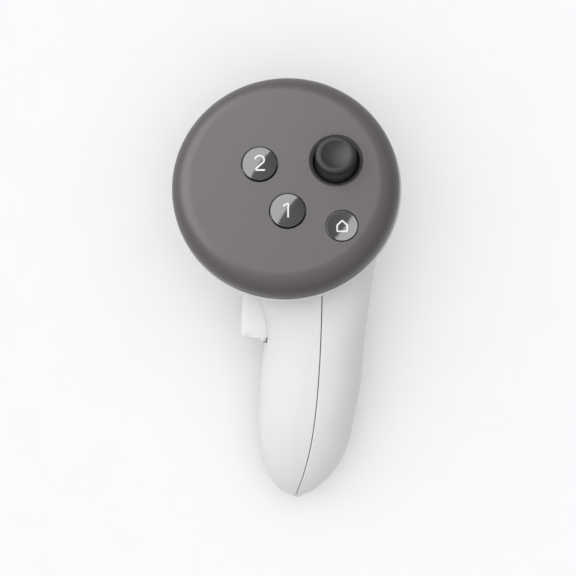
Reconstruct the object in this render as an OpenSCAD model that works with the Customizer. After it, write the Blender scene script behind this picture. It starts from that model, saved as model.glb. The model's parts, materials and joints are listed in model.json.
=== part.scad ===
// Handheld VR motion controller, right hand, in millimetres.
// Every piece is drawn in the head frame: origin at the centre of the flat face,
// +z out of the face, +y away from the handle, +x to the thumbstick side.
// lay() then rests the whole controller on a table: trigger tip and handle down, z = 0.

/* [Pose on the table] */
// Nose-down tilt of the face, degrees
face_pitch = -15.1; // [-25:0.1:0]
// Roll of the face toward the left, degrees
face_roll = -2.8; // [-8:0.1:8]
// Height of the face centre above the table
face_height = 35.32; // [30:0.05:42]
// Face centre from the middle of the overall box, across
face_shift_x = -0.4; // [-5:0.05:5]
// Face centre from the middle of the overall box, along the handle
face_shift_y = 31.71; // [25:0.05:40]

/* [Face cover] */
// Outer radius of the dark face cover
cover_r = 33.6; // [30:0.1:36]
// Height of the cover down to the body rim
cover_h = 8.5; // [6:0.1:12]
// Radius of the rounded outer edge
cover_edge_r = 6; // [3:0.1:8]
// Side wall of the cover
cover_wall = 1.8; // [1.2:0.1:2.5]
// Thickness of the cover face
cover_top = 1.6; // [1:0.1:2.5]

/* [Buttons] */
// Centre of the lower round button
button_a_at = [1.0, -9.2];
// Centre of the upper round button
button_b_at = [-7.4, 5.1];
// Centre of the flush system button
home_at = [16.9, -13.7];
// Radius of the two round buttons
button_r = 5.15; // [4:0.05:6]
// Radius of the system button
home_r = 4.6; // [3.5:0.05:5.5]
// How far a round button stands above the face
button_proud = 1.4; // [0.5:0.05:2]
// Depth of the finger dish in the system button
home_dish = 0.45; // [0.2:0.05:0.8]
// Clearance around a button in its hole
button_gap = 0.22; // [0.1:0.01:0.4]

/* [Thumbstick] */
// Where the stick axis crosses the face
stick_at = [15.0, 6.3];
// Depth of the tilt centre under the face
stick_pivot_depth = 7; // [5:0.1:9]
// Radius of the stick opening at the face
stick_hole_r = 7.9; // [7:0.1:9]
// Radius of the stick opening under its chamfer
stick_throat_r = 6.9; // [6:0.1:8]
// Radius of the thumb cap
cap_r = 6.0; // [5:0.1:7]
// Height of the thumb cap above the face
cap_top_z = 5.6; // [4:0.1:8]
// Outer radius of the dust skirt about the tilt centre
skirt_r = 8.3; // [7.5:0.1:8.6]

/* [Trigger] */
// Trigger axis ahead of the face centre
trigger_y = 21.5; // [18:0.1:25]
// Trigger axis below the face
trigger_z = -12.4; // [-15:0.1:-10]
// Middle of the trigger across the head
trigger_x = 1.5; // [-3:0.1:4]
// Trigger axis to trigger tip
trigger_r = 17.6; // [14:0.1:20]
// Width of the trigger
trigger_w = 17.6; // [12:0.1:19]
// Finger face angle ahead of straight down, degrees
trigger_front = 18; // [10:0.5:25]
// Rear face angle behind straight down, degrees
trigger_rear = 28; // [20:0.5:35]
// Pull travel, degrees
trigger_pull = 15; // [8:0.5:20]

/* [Grip button] */
// Depth of the grip pad across the handle side
grip_depth = 13; // [10:0.1:16]
// Grip hinge to the free end of the pad
grip_reach = 23.5; // [20:0.1:28]
// Outer face of the pad at its free end
grip_face_x = -14; // [-16:0.1:-11]

/* [Handle] */
// Wall of the body and battery cover
shell_wall = 1.8; // [1.4:0.1:2.4]
// Seam gap between body and battery cover
seam_gap = 0.25; // [0.1:0.05:0.5]
// Diameter of the AA cell
cell_d = 14.5; // [14:0.1:14.5]
// Length of the AA cell over its nub
cell_len = 50.5; // [49:0.1:50.5]
// Radius of the hole in the strap eye
strap_hole_r = 1.25; // [1:0.05:2]

/* [Show] */
// Which piece to draw

/* [Hidden] */
$fn = 72;
eps = 0.1;
fit = 0.1;
big = 150;

// Levels in the head, all measured from the face
frame_top = -5.2;
frame_under = -6.5;
flex_top = -5.0;
flex_t = 0.15;
membrane_top = -4.4;
dome_top = -3.6;
flange_top = -cover_top - fit;
flange_under = flange_top - 1.0;
button_foot = dome_top + fit;
pcb_top = -11.5;
pcb_under = -12.5;
pcb_r = 25;
rim_r = cover_r + 0.5;
rim_z = -cover_h - fit;
cover_inner_r = cover_r - cover_wall;
lip_outer_r = cover_inner_r - 0.2;
lip_inner_r = lip_outer_r - 1.4;
lip_top = frame_under - fit;
frame_r = cover_inner_r - 0.3;
skirt_ring_r = lip_inner_r - 0.2;

// Ribs that tie the head lip to the body wall
lip_rib_r = lip_outer_r - 0.7;
lip_rib_top = -11;
lip_rib_foot = -13.5;
left_rib_r = 29.0;
right_rib_r = 29.8;

// Screws, all the same M1.6 x 4.2 pan head
screw_head_r = 1.45;
screw_head_h = 0.9;
screw_r = 0.7;
screw_len = 4.2;
pilot_r = 0.8;
boss_r = 1.9;
cover_bosses = [[-22.4, 6.0], [14.2, 18.2], [0, -23.2]];
pcb_posts = [[-19, -10], [21, -6], [-14, 17]];

// Buttons
flange_over = 0.85;
stem_r = 2.2;
button_edge_z = 0.65;
button_sag = button_proud - button_edge_z;
button_sphere = (button_r * button_r + button_sag * button_sag) / (2 * button_sag);
home_top = -0.1;
home_dish_r = home_r - 0.2;
home_sphere = (home_dish_r * home_dish_r + home_dish * home_dish) / (2 * home_dish);
pad_r = 6.2;
pad_limit_r = 25.2;
bridge_w = 8;

// Stick
pivot = [stick_at[0], stick_at[1], -stick_pivot_depth];
skirt_t = 0.7;
skirt_half_angle = 71;
shaft_r = 1.0;
shaft_foot = -2.6;
shaft_top = 10.9;
hub_r = 1.7;
hub_half = 1.2;
hub_pin_r = 0.5;
yoke_x_half = 3.4;
yoke_y_half = 2.0;
yoke_z_half = 1.2;
yoke_pin_r = 0.7;
post_in = 5.0;
post_out = 5.9;
post_half = 1.6;
post_top = 1.4;
arch_in = 4.2;
arch_out = 5.0;
arch_half = 1.9;
arch_slot = 1.3;
arch_slot_angle = 34;
tray_half = 6.3;
tray_wall = 0.8;
tray_floor = 0.5;
tray_under = pcb_top + 0.05 - pivot[2];
tray_top = -1.6;
cap_bead_r = 1.1;
cap_dish_r = 4.3;
cap_dish = 0.8;
cap_neck_r = 3.2;
cap_foot_z = 1.4;
cap_sphere = (cap_dish_r * cap_dish_r + cap_dish * cap_dish) / (2 * cap_dish);

// Trigger
trigger_clear = 0.4;
trigger_hub_r = 2.8;
trigger_wall = 1.6;
trigger_bead = 3.4;
pin_r = 1.0;
bore_r = 1.08;
ear_r = 2.2;
ear_t = 1.5;
trigger_dish_r = 26;
trigger_dish = 1.3;
shield_out = 8.4;
shield_in = 7.2;
magnet_r = 1.5;
magnet_t = 2;

// Grip: local frame along the neck, x across, y toward the head, z through the handle
grip_mid = [0, -30, -27.3];
grip_angle = 24.9;
grip_hinge = [-6.0, 13.0];
grip_barrel_r = 1.8;
grip_wall = 1.6;
grip_skirt_x = -5.8;
grip_top_y = 9.8;
grip_web = [-7.6, 1.8, 7.5, 4.5];
grip_barrel_low = -3.3;
grip_barrel_high = 3.0;
grip_ear_t = 1.1;
grip_ear_r = 1.7;
grip_ear_low = grip_barrel_low - 0.2 - grip_ear_t;
grip_ear_high = grip_depth / 2 + 0.2 + grip_ear_t;
grip_bead = 3;
grip_magnet_at = [-11, -4, 0];
grip_magnet_seat = 2.2;

// Handle frames
seam_angle = 24;
neck_angle = -18.85;
neck_z = -20.4;
cell_mid = [8.4, -47.75, -35.15];
cell_pitch = 22.96;
cell_yaw = -4.08;
cradle_in = cell_d / 2 + 0.2;
cradle_out = cradle_in + 1.15;
cradle_front_x = -4.5;
cradle_screws_y = [-9, -19];
cradle_tail_y = -20;
cradle_tail_half = 4.2;
strap_at = [-1.2, -77.0, -53.7];
strap_lug_r = 2.5;
scallop_r = 7;
scallop_at = strap_at + [0, 0, 1.3 - scallop_r];
strap_stem_h = 4.6;
strap_stem_w = 3.0;
strap_lug_w = 4;

// Sections of the handle, from the rim of the head to the tip:
// upper y, upper z, lower y, lower z, left x, right x, squareness
sections = [
    [-34.1, -8.6, 34.1, -8.6, -34.1, 34.1, 2],
    [-33.8, -10.4, 33.5, -11, -33.7, 33.7, 2],
    [-32.9, -12.4, 30.2, -14.8, -31.0, 32.0, 2],
    [-32.4, -13.6, 22.5, -18.4, -25.5, 29.4, 2.0],
    [-33.4, -14.6, 11.0, -23.0, -18.5, 27.6, 2.1],
    [-36.5, -16.0, -3.0, -29.4, -12.0, 25.9, 2.2],
    [-42.0, -18.2, -17.0, -36.2, -8.0, 24.3, 2.3],
    [-49.5, -21.4, -31.0, -42.7, -7.3, 22.9, 2.3],
    [-58.0, -25.4, -44.0, -48.0, -8.4, 21.9, 2.3],
    [-66.5, -30.0, -56.0, -51.8, -8.9, 19.8, 2.3],
    [-74.0, -35.4, -66.0, -54.0, -8.4, 17.5, 2.3],
    [-80.0, -41.2, -74.5, -54.2, -6.2, 13.1, 2.2],
    [-83.1, -46.0, -80.7, -53.5, -2.8, 7.7, 2.1],
    [-83.9, -48.5, -83.2, -51.9, 0.4, 4.4, 2.0],
    [-84.4, -49.7, -84.2, -50.7, 1.9, 2.9, 2.0]
];
steps = 4;
around = 40;
// Seam on the handle: across, along the handle frame
seam = [
    [11.0, 12], [10.9, -20], [10.6, -36.5], [10.3, -45.8], [9.9, -53.9], [9.2, -63.3],
    [8.1, -73.0], [6.5, -82.0], [4.4, -89.8], [2.6, -95.0], [1.6, -98], [1.0, -104]
];

// ---------- frames ----------

// A point at radius r and angle a, at height z
function polar(r, a, z) = [r * cos(a), r * sin(a), z];

module lay() {
    translate([face_shift_x, face_shift_y, face_height])
        rotate([face_pitch, face_roll, 0])
            children();
}

module trigger_frame() {
    translate([trigger_x, trigger_y, trigger_z])
        rotate([0, 90, 0])
            children();
}

module grip_frame() {
    translate(grip_mid)
        rotate([grip_angle, 0, 0])
            children();
}

module cell_frame() {
    translate(cell_mid)
        rotate([cell_pitch, 0, 0])
            rotate([0, 0, cell_yaw])
                children();
}

// ---------- curves and lofts ----------

function curve_at(a, b, c, d, t) =
    0.5 * (2 * b + (c - a) * t + (2 * a - 5 * b + 4 * c - d) * t * t
        + (3 * b - a - 3 * c + d) * t * t * t);

function before(list) = 2 * list[0] - list[1];

function after(list) = 2 * list[len(list) - 1] - list[len(list) - 2];

function smooth(list, n) =
    let (p = concat([before(list)], list, [after(list)]))
    concat(
        [for (i = [0:len(list) - 2]) for (j = [0:n - 1])
            curve_at(p[i], p[i + 1], p[i + 2], p[i + 3], j / n)],
        [list[len(list) - 1]]
    );

function power(v, e) = sign(v) * pow(abs(v), e);

function ring(s) =
    [for (i = [0:around - 1])
        let (
            c = power(cos(i * 360 / around), 2 / s[6]),
            n = power(sin(i * 360 / around), 2 / s[6])
        )
        [
            (s[4] + s[5]) / 2 + (s[5] - s[4]) / 2 * c,
            (s[0] + s[2]) / 2 + (s[0] - s[2]) / 2 * n,
            (s[1] + s[3]) / 2 + (s[1] - s[3]) / 2 * n
        ]];

// Unit normal of a step in the y-z plane, turned toward a target direction
function inward(step, toward) =
    let (n = [step[1], -step[0]] / norm(step))
    n * toward >= 0 ? n : -n;

// One section moved inward by the wall
function shrunk(a, s, b, wall) =
    let (
        across = [s[2] - s[0], s[3] - s[1]],
        up = [s[0], s[1]] + wall * inward([b[0] - a[0], b[1] - a[1]], across),
        low = [s[2], s[3]] + wall * inward([b[2] - a[2], b[3] - a[3]], -across),
        run = norm([b[0] - a[0] + b[2] - a[2], b[1] - a[1] + b[3] - a[3]]) / 2,
        left = min(1.6, norm([b[4] - a[4], run]) / run),
        right = min(1.6, norm([b[5] - a[5], run]) / run)
    )
    [up[0], up[1], low[0], low[1], s[4] + wall * left, s[5] - wall * right, s[6]];

all_sections = smooth(sections, steps);
inner_last = len(all_sections) - 1 - 2 * steps;
inner_sections = [for (i = [0:inner_last])
    shrunk(all_sections[max(0, i - 1)], all_sections[i], all_sections[i + 1], shell_wall)];

module loft(rings) {
    n = len(rings[0]);
    m = len(rings);
    polyhedron(
        points = [for (r = rings) each r],
        faces = concat(
            [[for (i = [0:n - 1]) i]],
            [for (j = [0:m - 2]) for (i = [0:n - 1]) [j * n + i, (j + 1) * n + i, (j + 1) * n + (i + 1) % n]],
            [for (j = [0:m - 2]) for (i = [0:n - 1]) [j * n + i, (j + 1) * n + (i + 1) % n, j * n + (i + 1) % n]],
            [[for (i = [0:n - 1]) m * n - 1 - i]]
        ),
        convexity = 10
    );
}

module body_outside() {
    loft([for (s = all_sections) ring(s)]);
}

// The outer surface drawn in by half the wall, to trim bosses and ribs
module body_middle() {
    loft([for (i = [0:inner_last])
        ring(shrunk(all_sections[max(0, i - 1)], all_sections[i], all_sections[i + 1], shell_wall / 2))]);
}

module body_inside() {
    lid = [for (p = ring(inner_sections[0])) p + [0, 0, 1]];
    loft(concat([lid], [for (s = inner_sections) ring(s)]));
}

// The part of the handle that belongs to the battery cover
module cover_zone(gap) {
    line = smooth(seam, 3);
    intersection() {
        rotate([seam_angle, 0, 0])
            linear_extrude(height = big, center = true)
                polygon(concat(
                    [for (p = line) p + [gap, 0]],
                    [[big / 2, seam[len(seam) - 1][1]], [big / 2, seam[0][1]]]
                ));
        rotate([neck_angle, 0, 0])
            translate([-big / 2, -big / 2, neck_z - gap - big])
                cube(big);
    }
}

// Round wire coil: radius, wire radius, turns, pitch
module coil(r, wire, turns, pitch) {
    per_turn = 14;
    sides = 6;
    n = turns * per_turn;
    rings = [for (i = [0:n])
        [for (k = [0:sides - 1])
            let (
                a = i * 360 / per_turn,
                q = -k * 360 / sides
            )
            [(r + wire * cos(q)) * cos(a), (r + wire * cos(q)) * sin(a), pitch * i / per_turn + wire * sin(q)]]];
    loft(rings);
}

// ---------- head ----------

module cover_profile(inset) {
    core_r = cover_r - cover_edge_r;
    translate([0, -cover_h])
        square([core_r, cover_h - (inset > 0 ? cover_top : 0)]);
    translate([0, -cover_h])
        square([cover_r - inset, cover_h - cover_edge_r]);
    translate([core_r, -cover_edge_r])
        circle(r = cover_edge_r - inset);
}

module face_cover() {
    color([0.25, 0.24, 0.25])
    difference() {
        union() {
            rotate_extrude()
                intersection() {
                    difference() {
                        cover_profile(0);
                        translate([0, -eps])
                            cover_profile(cover_wall);
                        translate([0, -cover_h - eps])
                            square([cover_inner_r, 2 * eps]);
                    }
                    translate([0, -cover_h])
                        square([cover_r, cover_h]);
                }
            for (p = cover_bosses)
                translate([p[0], p[1], frame_top + fit])
                    cylinder(r = boss_r, h = -frame_top - fit - cover_top / 2);
        }
        for (p = [button_a_at, button_b_at])
            translate([p[0], p[1], -cover_top - eps * 2])
                cylinder(r = button_r + button_gap, h = cover_top + eps * 4);
        translate([home_at[0], home_at[1], -cover_top - eps * 2])
            cylinder(r = home_r + button_gap, h = cover_top + eps * 4);
        translate([stick_at[0], stick_at[1], -cover_top - eps * 2])
            cylinder(r = stick_throat_r, h = cover_top + eps * 4);
        translate([stick_at[0], stick_at[1], -(stick_hole_r - stick_throat_r)])
            cylinder(r1 = stick_throat_r, r2 = stick_hole_r + eps, h = stick_hole_r - stick_throat_r + eps);
        for (p = cover_bosses)
            translate([p[0], p[1], frame_top])
                cylinder(r = pilot_r, h = screw_len - (frame_top - frame_under) + 2 * fit);
    }
}

module screw() {
    translate([0, 0, -screw_head_h])
        cylinder(r = screw_head_r, h = screw_head_h);
    cylinder(r = screw_r, h = screw_len);
}

// Eight equal screws: three under the frame, three under the board, two in the cradle
module screws() {
    color([0.6, 0.6, 0.62]) {
        for (p = cover_bosses)
            translate([p[0], p[1], frame_under])
                screw();
        for (p = pcb_posts)
            translate([p[0], p[1], pcb_under])
                screw();
        cell_frame()
            for (y = cradle_screws_y)
                translate([-cradle_in - 1.5, y, 0])
                    rotate([0, -90, 0])
                        screw();
    }
}

module inner_frame() {
    color([0.16, 0.16, 0.17])
    difference() {
        union() {
            translate([0, 0, frame_under])
                cylinder(r = frame_r, h = frame_top - frame_under);
            translate([0, 0, frame_under - 2.4])
                difference() {
                    cylinder(r = skirt_ring_r, h = 2.5);
                    translate([0, 0, -eps])
                        cylinder(r = skirt_ring_r - 1.2, h = 3);
                }
            for (p = pcb_posts)
                translate([p[0], p[1], pcb_top + 0.05])
                    cylinder(r = boss_r, h = frame_under - pcb_top);
        }
        translate([stick_at[0], stick_at[1], frame_under - 3])
            cylinder(r = 9.2, h = 6);
        for (p = cover_bosses)
            translate([p[0], p[1], frame_under - eps])
                cylinder(r = pilot_r, h = 2);
        for (p = pcb_posts)
            translate([p[0], p[1], pcb_top - eps])
                cylinder(r = pilot_r, h = screw_len);
        for (s = [-1, 1])
            translate([trigger_x + s * 6, trigger_y, frame_under - eps])
                cylinder(r = pin_r + fit, h = 2);
    }
}

module led_ring_flex() {
    color([0.72, 0.5, 0.16])
    translate([0, 0, frame_top + fit])
        difference() {
            cylinder(r = 30, h = 0.2);
            translate([0, 0, -eps])
                cylinder(r = 25.5, h = 0.4);
        }
}

module ir_leds() {
    color([0.12, 0.1, 0.14])
    for (i = [0:6])
        rotate([0, 0, 15 + i * 360 / 7])
            translate([28, 0, frame_top + fit + 0.2 + 0.3])
                cube([1.6, 3.2, 0.6], center = true);
}

module link(a, b, w) {
    d = b - a;
    translate(a)
        rotate([0, 0, atan2(d[1], d[0])])
            translate([0, -w / 2])
                square([norm(d), w]);
}

module pad_outline() {
    intersection() {
        circle(r = pad_limit_r);
        union() {
            for (p = [button_a_at, button_b_at, home_at])
                translate(p)
                    circle(r = pad_r);
            link(button_b_at, button_a_at, bridge_w);
            link(button_a_at, home_at, bridge_w);
        }
    }
}

module button_membrane() {
    color([0.75, 0.75, 0.78]) {
        translate([0, 0, flex_top + 0.05])
            linear_extrude(height = membrane_top - flex_top - 0.05)
                pad_outline();
        for (p = [button_a_at, button_b_at, home_at])
            translate([p[0], p[1], membrane_top - eps])
                cylinder(r1 = 3.2, r2 = 2.4, h = dome_top - membrane_top + eps);
    }
}

module switch_flex() {
    color([0.72, 0.5, 0.16])
    translate([0, 0, flex_top - flex_t])
        linear_extrude(height = flex_t)
            pad_outline();
}

module round_button() {
    intersection() {
        translate([0, 0, flange_top - eps])
            cylinder(r = button_r, h = button_proud - flange_top + eps * 2);
        translate([0, 0, button_proud - button_sphere])
            sphere(r = button_sphere, $fn = 160);
    }
    translate([0, 0, flange_under])
        cylinder(r = button_r + flange_over, h = flange_top - flange_under);
    translate([0, 0, button_foot])
        cylinder(r = stem_r, h = flange_under - button_foot + eps);
}

module button_a() {
    color([0.2, 0.2, 0.21])
    translate([button_a_at[0], button_a_at[1], 0])
        round_button();
}

module button_b() {
    color([0.2, 0.2, 0.21])
    translate([button_b_at[0], button_b_at[1], 0])
        round_button();
}

module home_button() {
    color([0.22, 0.22, 0.23])
    translate([home_at[0], home_at[1], 0]) {
        difference() {
            translate([0, 0, flange_top - eps])
                cylinder(r = home_r, h = home_top - flange_top + eps);
            translate([0, 0, home_top - home_dish + home_sphere])
                sphere(r = home_sphere, $fn = 160);
        }
        translate([0, 0, flange_under])
            cylinder(r = home_r + flange_over, h = flange_top - flange_under);
        translate([0, 0, button_foot])
            cylinder(r = stem_r, h = flange_under - button_foot + eps);
    }
}

module main_pcb() {
    color([0.05, 0.3, 0.18])
    difference() {
        translate([0, 0, pcb_under])
            cylinder(r = pcb_r, h = pcb_top - pcb_under);
        translate([trigger_x - trigger_w / 2 - 3.2, 15.5, pcb_under - eps])
            cube([trigger_w + 6.4, pcb_r, 2]);
        for (p = pcb_posts)
            translate([p[0], p[1], pcb_under - eps])
                cylinder(r = pilot_r, h = 2);
    }
}

module sensor_chips() {
    color([0.08, 0.08, 0.09]) {
        translate([trigger_x - 1.5, 13, pcb_under - 0.8])
            cube([3, 2, 0.75]);
        translate([-12, -14, pcb_under - 0.8])
            cube([3, 2, 0.75]);
        translate([-8, -1, pcb_under - 1.0])
            cube([7, 7, 0.95]);
    }
}

// ---------- thumbstick ----------

module stick_base() {
    color([0.3, 0.3, 0.32])
    translate(pivot)
    difference() {
        union() {
            difference() {
                translate([-tray_half, -tray_half, tray_under])
                    cube([2 * tray_half, 2 * tray_half, tray_top - tray_under]);
                translate([-tray_half + tray_wall, -tray_half + tray_wall, tray_under + tray_floor])
                    cube([2 * (tray_half - tray_wall), 2 * (tray_half - tray_wall), 5]);
            }
            for (a = [0, 90, 180, 270])
                rotate([0, 0, a])
                    translate([post_in, -post_half, tray_under + tray_floor - eps])
                        cube([post_out - post_in, 2 * post_half, post_top - tray_under - tray_floor + eps]);
        }
        rotate([0, 90, 0])
            cylinder(r = yoke_pin_r + 0.08, h = 4 * post_out, center = true);
        rotate([90, 0, 0])
            cylinder(r = yoke_pin_r + 0.08, h = 4 * post_out, center = true);
    }
}

module stick_sensors() {
    color([0.1, 0.1, 0.11])
    translate([pivot[0], pivot[1], pcb_top + 0.05]) {
        translate([tray_half + fit, -2.5, 0])
            cube([1.3, 5, 2.8]);
        translate([-2.5, -tray_half - fit - 1.3, 0])
            cube([5, 1.3, 2.8]);
    }
}

module click_switch() {
    color([0.8, 0.78, 0.7])
    translate([pivot[0], pivot[1], pivot[2] + tray_under + tray_floor + 0.05]) {
        translate([-2, -2, 0])
            cube([4, 4, 0.35]);
        cylinder(r = 1.5, h = 0.6);
    }
}

module stick_yoke_x() {
    color([0.62, 0.62, 0.64])
    translate(pivot)
    difference() {
        union() {
            translate([-yoke_x_half, -yoke_y_half, -yoke_z_half])
                cube([2 * yoke_x_half, 2 * yoke_y_half, 2 * yoke_z_half]);
            rotate([0, 90, 0])
                cylinder(r = yoke_pin_r, h = 2 * post_out, center = true);
        }
        translate([-2.2, -hub_half - fit, -2 * yoke_z_half])
            cube([4.4, 2 * (hub_half + fit), 4 * yoke_z_half]);
        rotate([90, 0, 0])
            cylinder(r = hub_pin_r + 0.06, h = 3 * yoke_y_half, center = true);
    }
}

module stick_yoke_y() {
    color([0.56, 0.56, 0.58])
    translate(pivot)
    difference() {
        union() {
            rotate([0, 90, 0])
                rotate([0, 0, 90])
                    rotate_extrude(angle = 180)
                        translate([arch_in, -arch_half])
                            square([arch_out - arch_in, 2 * arch_half]);
            for (s = [-1, 1])
                rotate([s * 90, 0, 0])
                    translate([0, 0, arch_in + 0.2])
                        cylinder(r = yoke_pin_r, h = post_out - arch_in - 0.2);
        }
        intersection() {
            translate([-arch_slot, -arch_out, 0])
                cube([2 * arch_slot, 2 * arch_out, 2 * arch_out]);
            rotate([0, 90, 0])
                rotate([0, 0, 180 - arch_slot_angle])
                    rotate_extrude(angle = 2 * arch_slot_angle)
                        translate([1, -2 * arch_half])
                            square([arch_out, 4 * arch_half]);
        }
    }
}

module stick_hub() {
    color([0.85, 0.85, 0.86])
    translate(pivot)
    difference() {
        rotate([90, 0, 0]) {
            cylinder(r = hub_r, h = 2 * hub_half, center = true);
            cylinder(r = hub_pin_r, h = 2 * yoke_y_half - fit, center = true);
        }
        cylinder(r = shaft_r + 0.06, h = 3 * hub_r, center = true);
    }
}

module stick_shaft() {
    color([0.75, 0.75, 0.77])
    translate(pivot) {
        translate([0, 0, shaft_foot + shaft_r])
            cylinder(r = shaft_r, h = shaft_top - shaft_foot - shaft_r);
        translate([0, 0, shaft_foot + shaft_r])
            sphere(r = shaft_r);
    }
}

module stick_skirt() {
    color([0.05, 0.05, 0.05])
    translate(pivot)
    difference() {
        union() {
            rotate_extrude()
                intersection() {
                    difference() {
                        circle(r = skirt_r);
                        circle(r = skirt_r - skirt_t);
                    }
                    polygon([[0, 0], [0, 30], [30, 30], [30, 30 / tan(skirt_half_angle)]]);
                }
            translate([0, 0, skirt_r - 1.6])
                cylinder(r = 2.4, h = 1.6);
        }
        cylinder(r = shaft_r + 0.04, h = 2 * skirt_r);
    }
}

module thumb_cap() {
    color([0.09, 0.09, 0.09])
    translate([stick_at[0], stick_at[1], 0])
    difference() {
        union() {
            rotate_extrude() {
                translate([0, cap_top_z - 2 * cap_bead_r])
                    square([cap_r - cap_bead_r, 2 * cap_bead_r]);
                translate([cap_r - cap_bead_r, cap_top_z - cap_bead_r])
                    circle(r = cap_bead_r);
            }
            translate([0, 0, cap_foot_z + 0.6])
                cylinder(r1 = cap_neck_r, r2 = cap_r - cap_bead_r, h = cap_top_z - 2 * cap_bead_r - cap_foot_z - 0.6 + eps);
            translate([0, 0, cap_foot_z])
                cylinder(r = cap_neck_r, h = 0.7);
        }
        translate([0, 0, cap_top_z - cap_dish + cap_sphere])
            sphere(r = cap_sphere, $fn = 160);
        translate([0, 0, cap_foot_z - eps])
            cylinder(r = shaft_r + 0.04, h = shaft_top - stick_pivot_depth - cap_foot_z + 2 * fit);
    }
}

module stick_spring() {
    color([0.7, 0.7, 0.72])
    translate([pivot[0], pivot[1], pivot[2] + tray_under + tray_floor + 0.35])
        coil(3.4, 0.22, 3, 0.45);
}

// ---------- trigger ----------

module trigger_profile(inset, low) {
    half = trigger_w / 2 - inset;
    bead = trigger_bead - inset;
    outer = trigger_r - inset;
    translate([low, -half])
        square([outer - bead - low, 2 * half]);
    translate([low, -half + bead])
        square([outer - low, 2 * (half - bead)]);
    for (s = [-1, 1])
        translate([outer - bead, s * (half - bead)])
            circle(r = bead);
}

module trigger_sector(from, to) {
    rotate([0, 0, from])
        rotate_extrude(angle = to - from)
            children();
}

module trigger() {
    color([0.9, 0.9, 0.91])
    trigger_frame()
    difference() {
        union() {
            difference() {
                trigger_sector(-trigger_rear, trigger_front)
                    trigger_profile(0, 2);
                trigger_sector(-trigger_rear + 7, trigger_front - 14)
                    trigger_profile(trigger_wall, trigger_hub_r + 1);
                trigger_sector(-trigger_rear - 2, 0)
                    translate([trigger_hub_r + 1, -trigger_w / 2 + trigger_wall])
                        square([3.5, trigger_w - 2 * trigger_wall]);
                rotate([0, 0, trigger_front])
                    translate([0.64 * trigger_r, trigger_dish_r - trigger_dish, 0])
                        cylinder(r = trigger_dish_r, h = 2 * trigger_w, center = true, $fn = 240);
                translate([0, 0, trigger_w / 2 - 4])
                    cylinder(r = trigger_hub_r + 0.1, h = 5);
            }
            translate([0, 0, -trigger_w / 2 - 0.2])
                cylinder(r = trigger_hub_r, h = trigger_w - 4);
            trigger_sector(-trigger_rear - 14, -trigger_rear + 3)
                translate([shield_in, -trigger_w / 2 + 0.3])
                    square([shield_out - shield_in, trigger_w - 0.6]);
            rotate([0, 0, -trigger_rear - 9])
                translate([6.2, 0, 0])
                    cylinder(r = magnet_r + 0.8, h = 5, center = true);
        }
        cylinder(r = bore_r, h = 2 * trigger_w, center = true);
        rotate([0, 0, -trigger_rear - 9])
            translate([6.2, 0, 0.5])
                cylinder(r = magnet_r + 0.05, h = 4);
    }
}

module trigger_magnet() {
    color([0.5, 0.5, 0.53])
    trigger_frame()
    rotate([0, 0, -trigger_rear - 9])
        translate([6.2, 0, 0.5])
            cylinder(r = magnet_r, h = magnet_t);
}

module trigger_bracket() {
    half = trigger_w / 2 + 0.5;
    color([0.2, 0.2, 0.22])
    difference() {
        union() {
            for (s = [-1, 1])
                translate([trigger_x + (s > 0 ? half : -half - ear_t), trigger_y, trigger_z]) {
                    rotate([0, 90, 0])
                        cylinder(r = ear_r, h = ear_t);
                    translate([0, -ear_r, 0])
                        cube([ear_t, 2 * ear_r, frame_under - fit - trigger_z]);
                }
            translate([trigger_x - half - ear_t, trigger_y - ear_r, frame_under - 1.1])
                cube([2 * (half + ear_t), 2 * ear_r, 1.0]);
            for (s = [-1, 1])
                translate([trigger_x + s * 6, trigger_y, frame_under - 0.2])
                    cylinder(r = pin_r, h = 1.2);
        }
        translate([trigger_x, trigger_y, trigger_z])
            rotate([0, 90, 0])
                cylinder(r = pin_r + 0.02, h = 2 * trigger_w, center = true);
    }
}

module trigger_pin() {
    color([0.7, 0.7, 0.72])
    trigger_frame()
    cylinder(r = pin_r, h = trigger_w + 1 + 2 * ear_t - 0.2, center = true);
}

module trigger_spring() {
    color([0.7, 0.7, 0.72])
    trigger_frame()
    translate([0, 0, trigger_w / 2 - 3.6])
        coil(1.75, 0.25, 5, 0.62);
}

// ---------- grip button ----------

// Side outline of the pad: x across, y toward the head
module grip_outline(inset) {
    intersection() {
        polygon([
            [grip_skirt_x + (inset > 0 ? 5 : 0), grip_top_y - inset],
            [-12.7 + inset, grip_top_y - inset],
            [grip_face_x + inset, -8],
            [grip_face_x + inset, -14],
            [grip_skirt_x + (inset > 0 ? 5 : 0), -14]
        ]);
        translate(grip_hinge)
            circle(r = grip_reach - inset, $fn = 240);
    }
}

// End outline of the pad: x across, z through the handle
module grip_end(inset) {
    half = grip_depth / 2 - inset;
    bead = grip_bead - inset;
    translate([grip_face_x + grip_bead, -half])
        square([20, 2 * half]);
    translate([grip_face_x + inset, -half + bead])
        square([20, 2 * (half - bead)]);
    for (s = [-1, 1])
        translate([grip_face_x + grip_bead, s * (half - bead)])
            circle(r = bead);
}

module grip_solid(inset) {
    intersection() {
        linear_extrude(height = 2 * grip_depth, center = true)
            grip_outline(inset);
        rotate([90, 0, 0])
            linear_extrude(height = 4 * grip_reach, center = true)
                grip_end(inset);
    }
}

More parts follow.
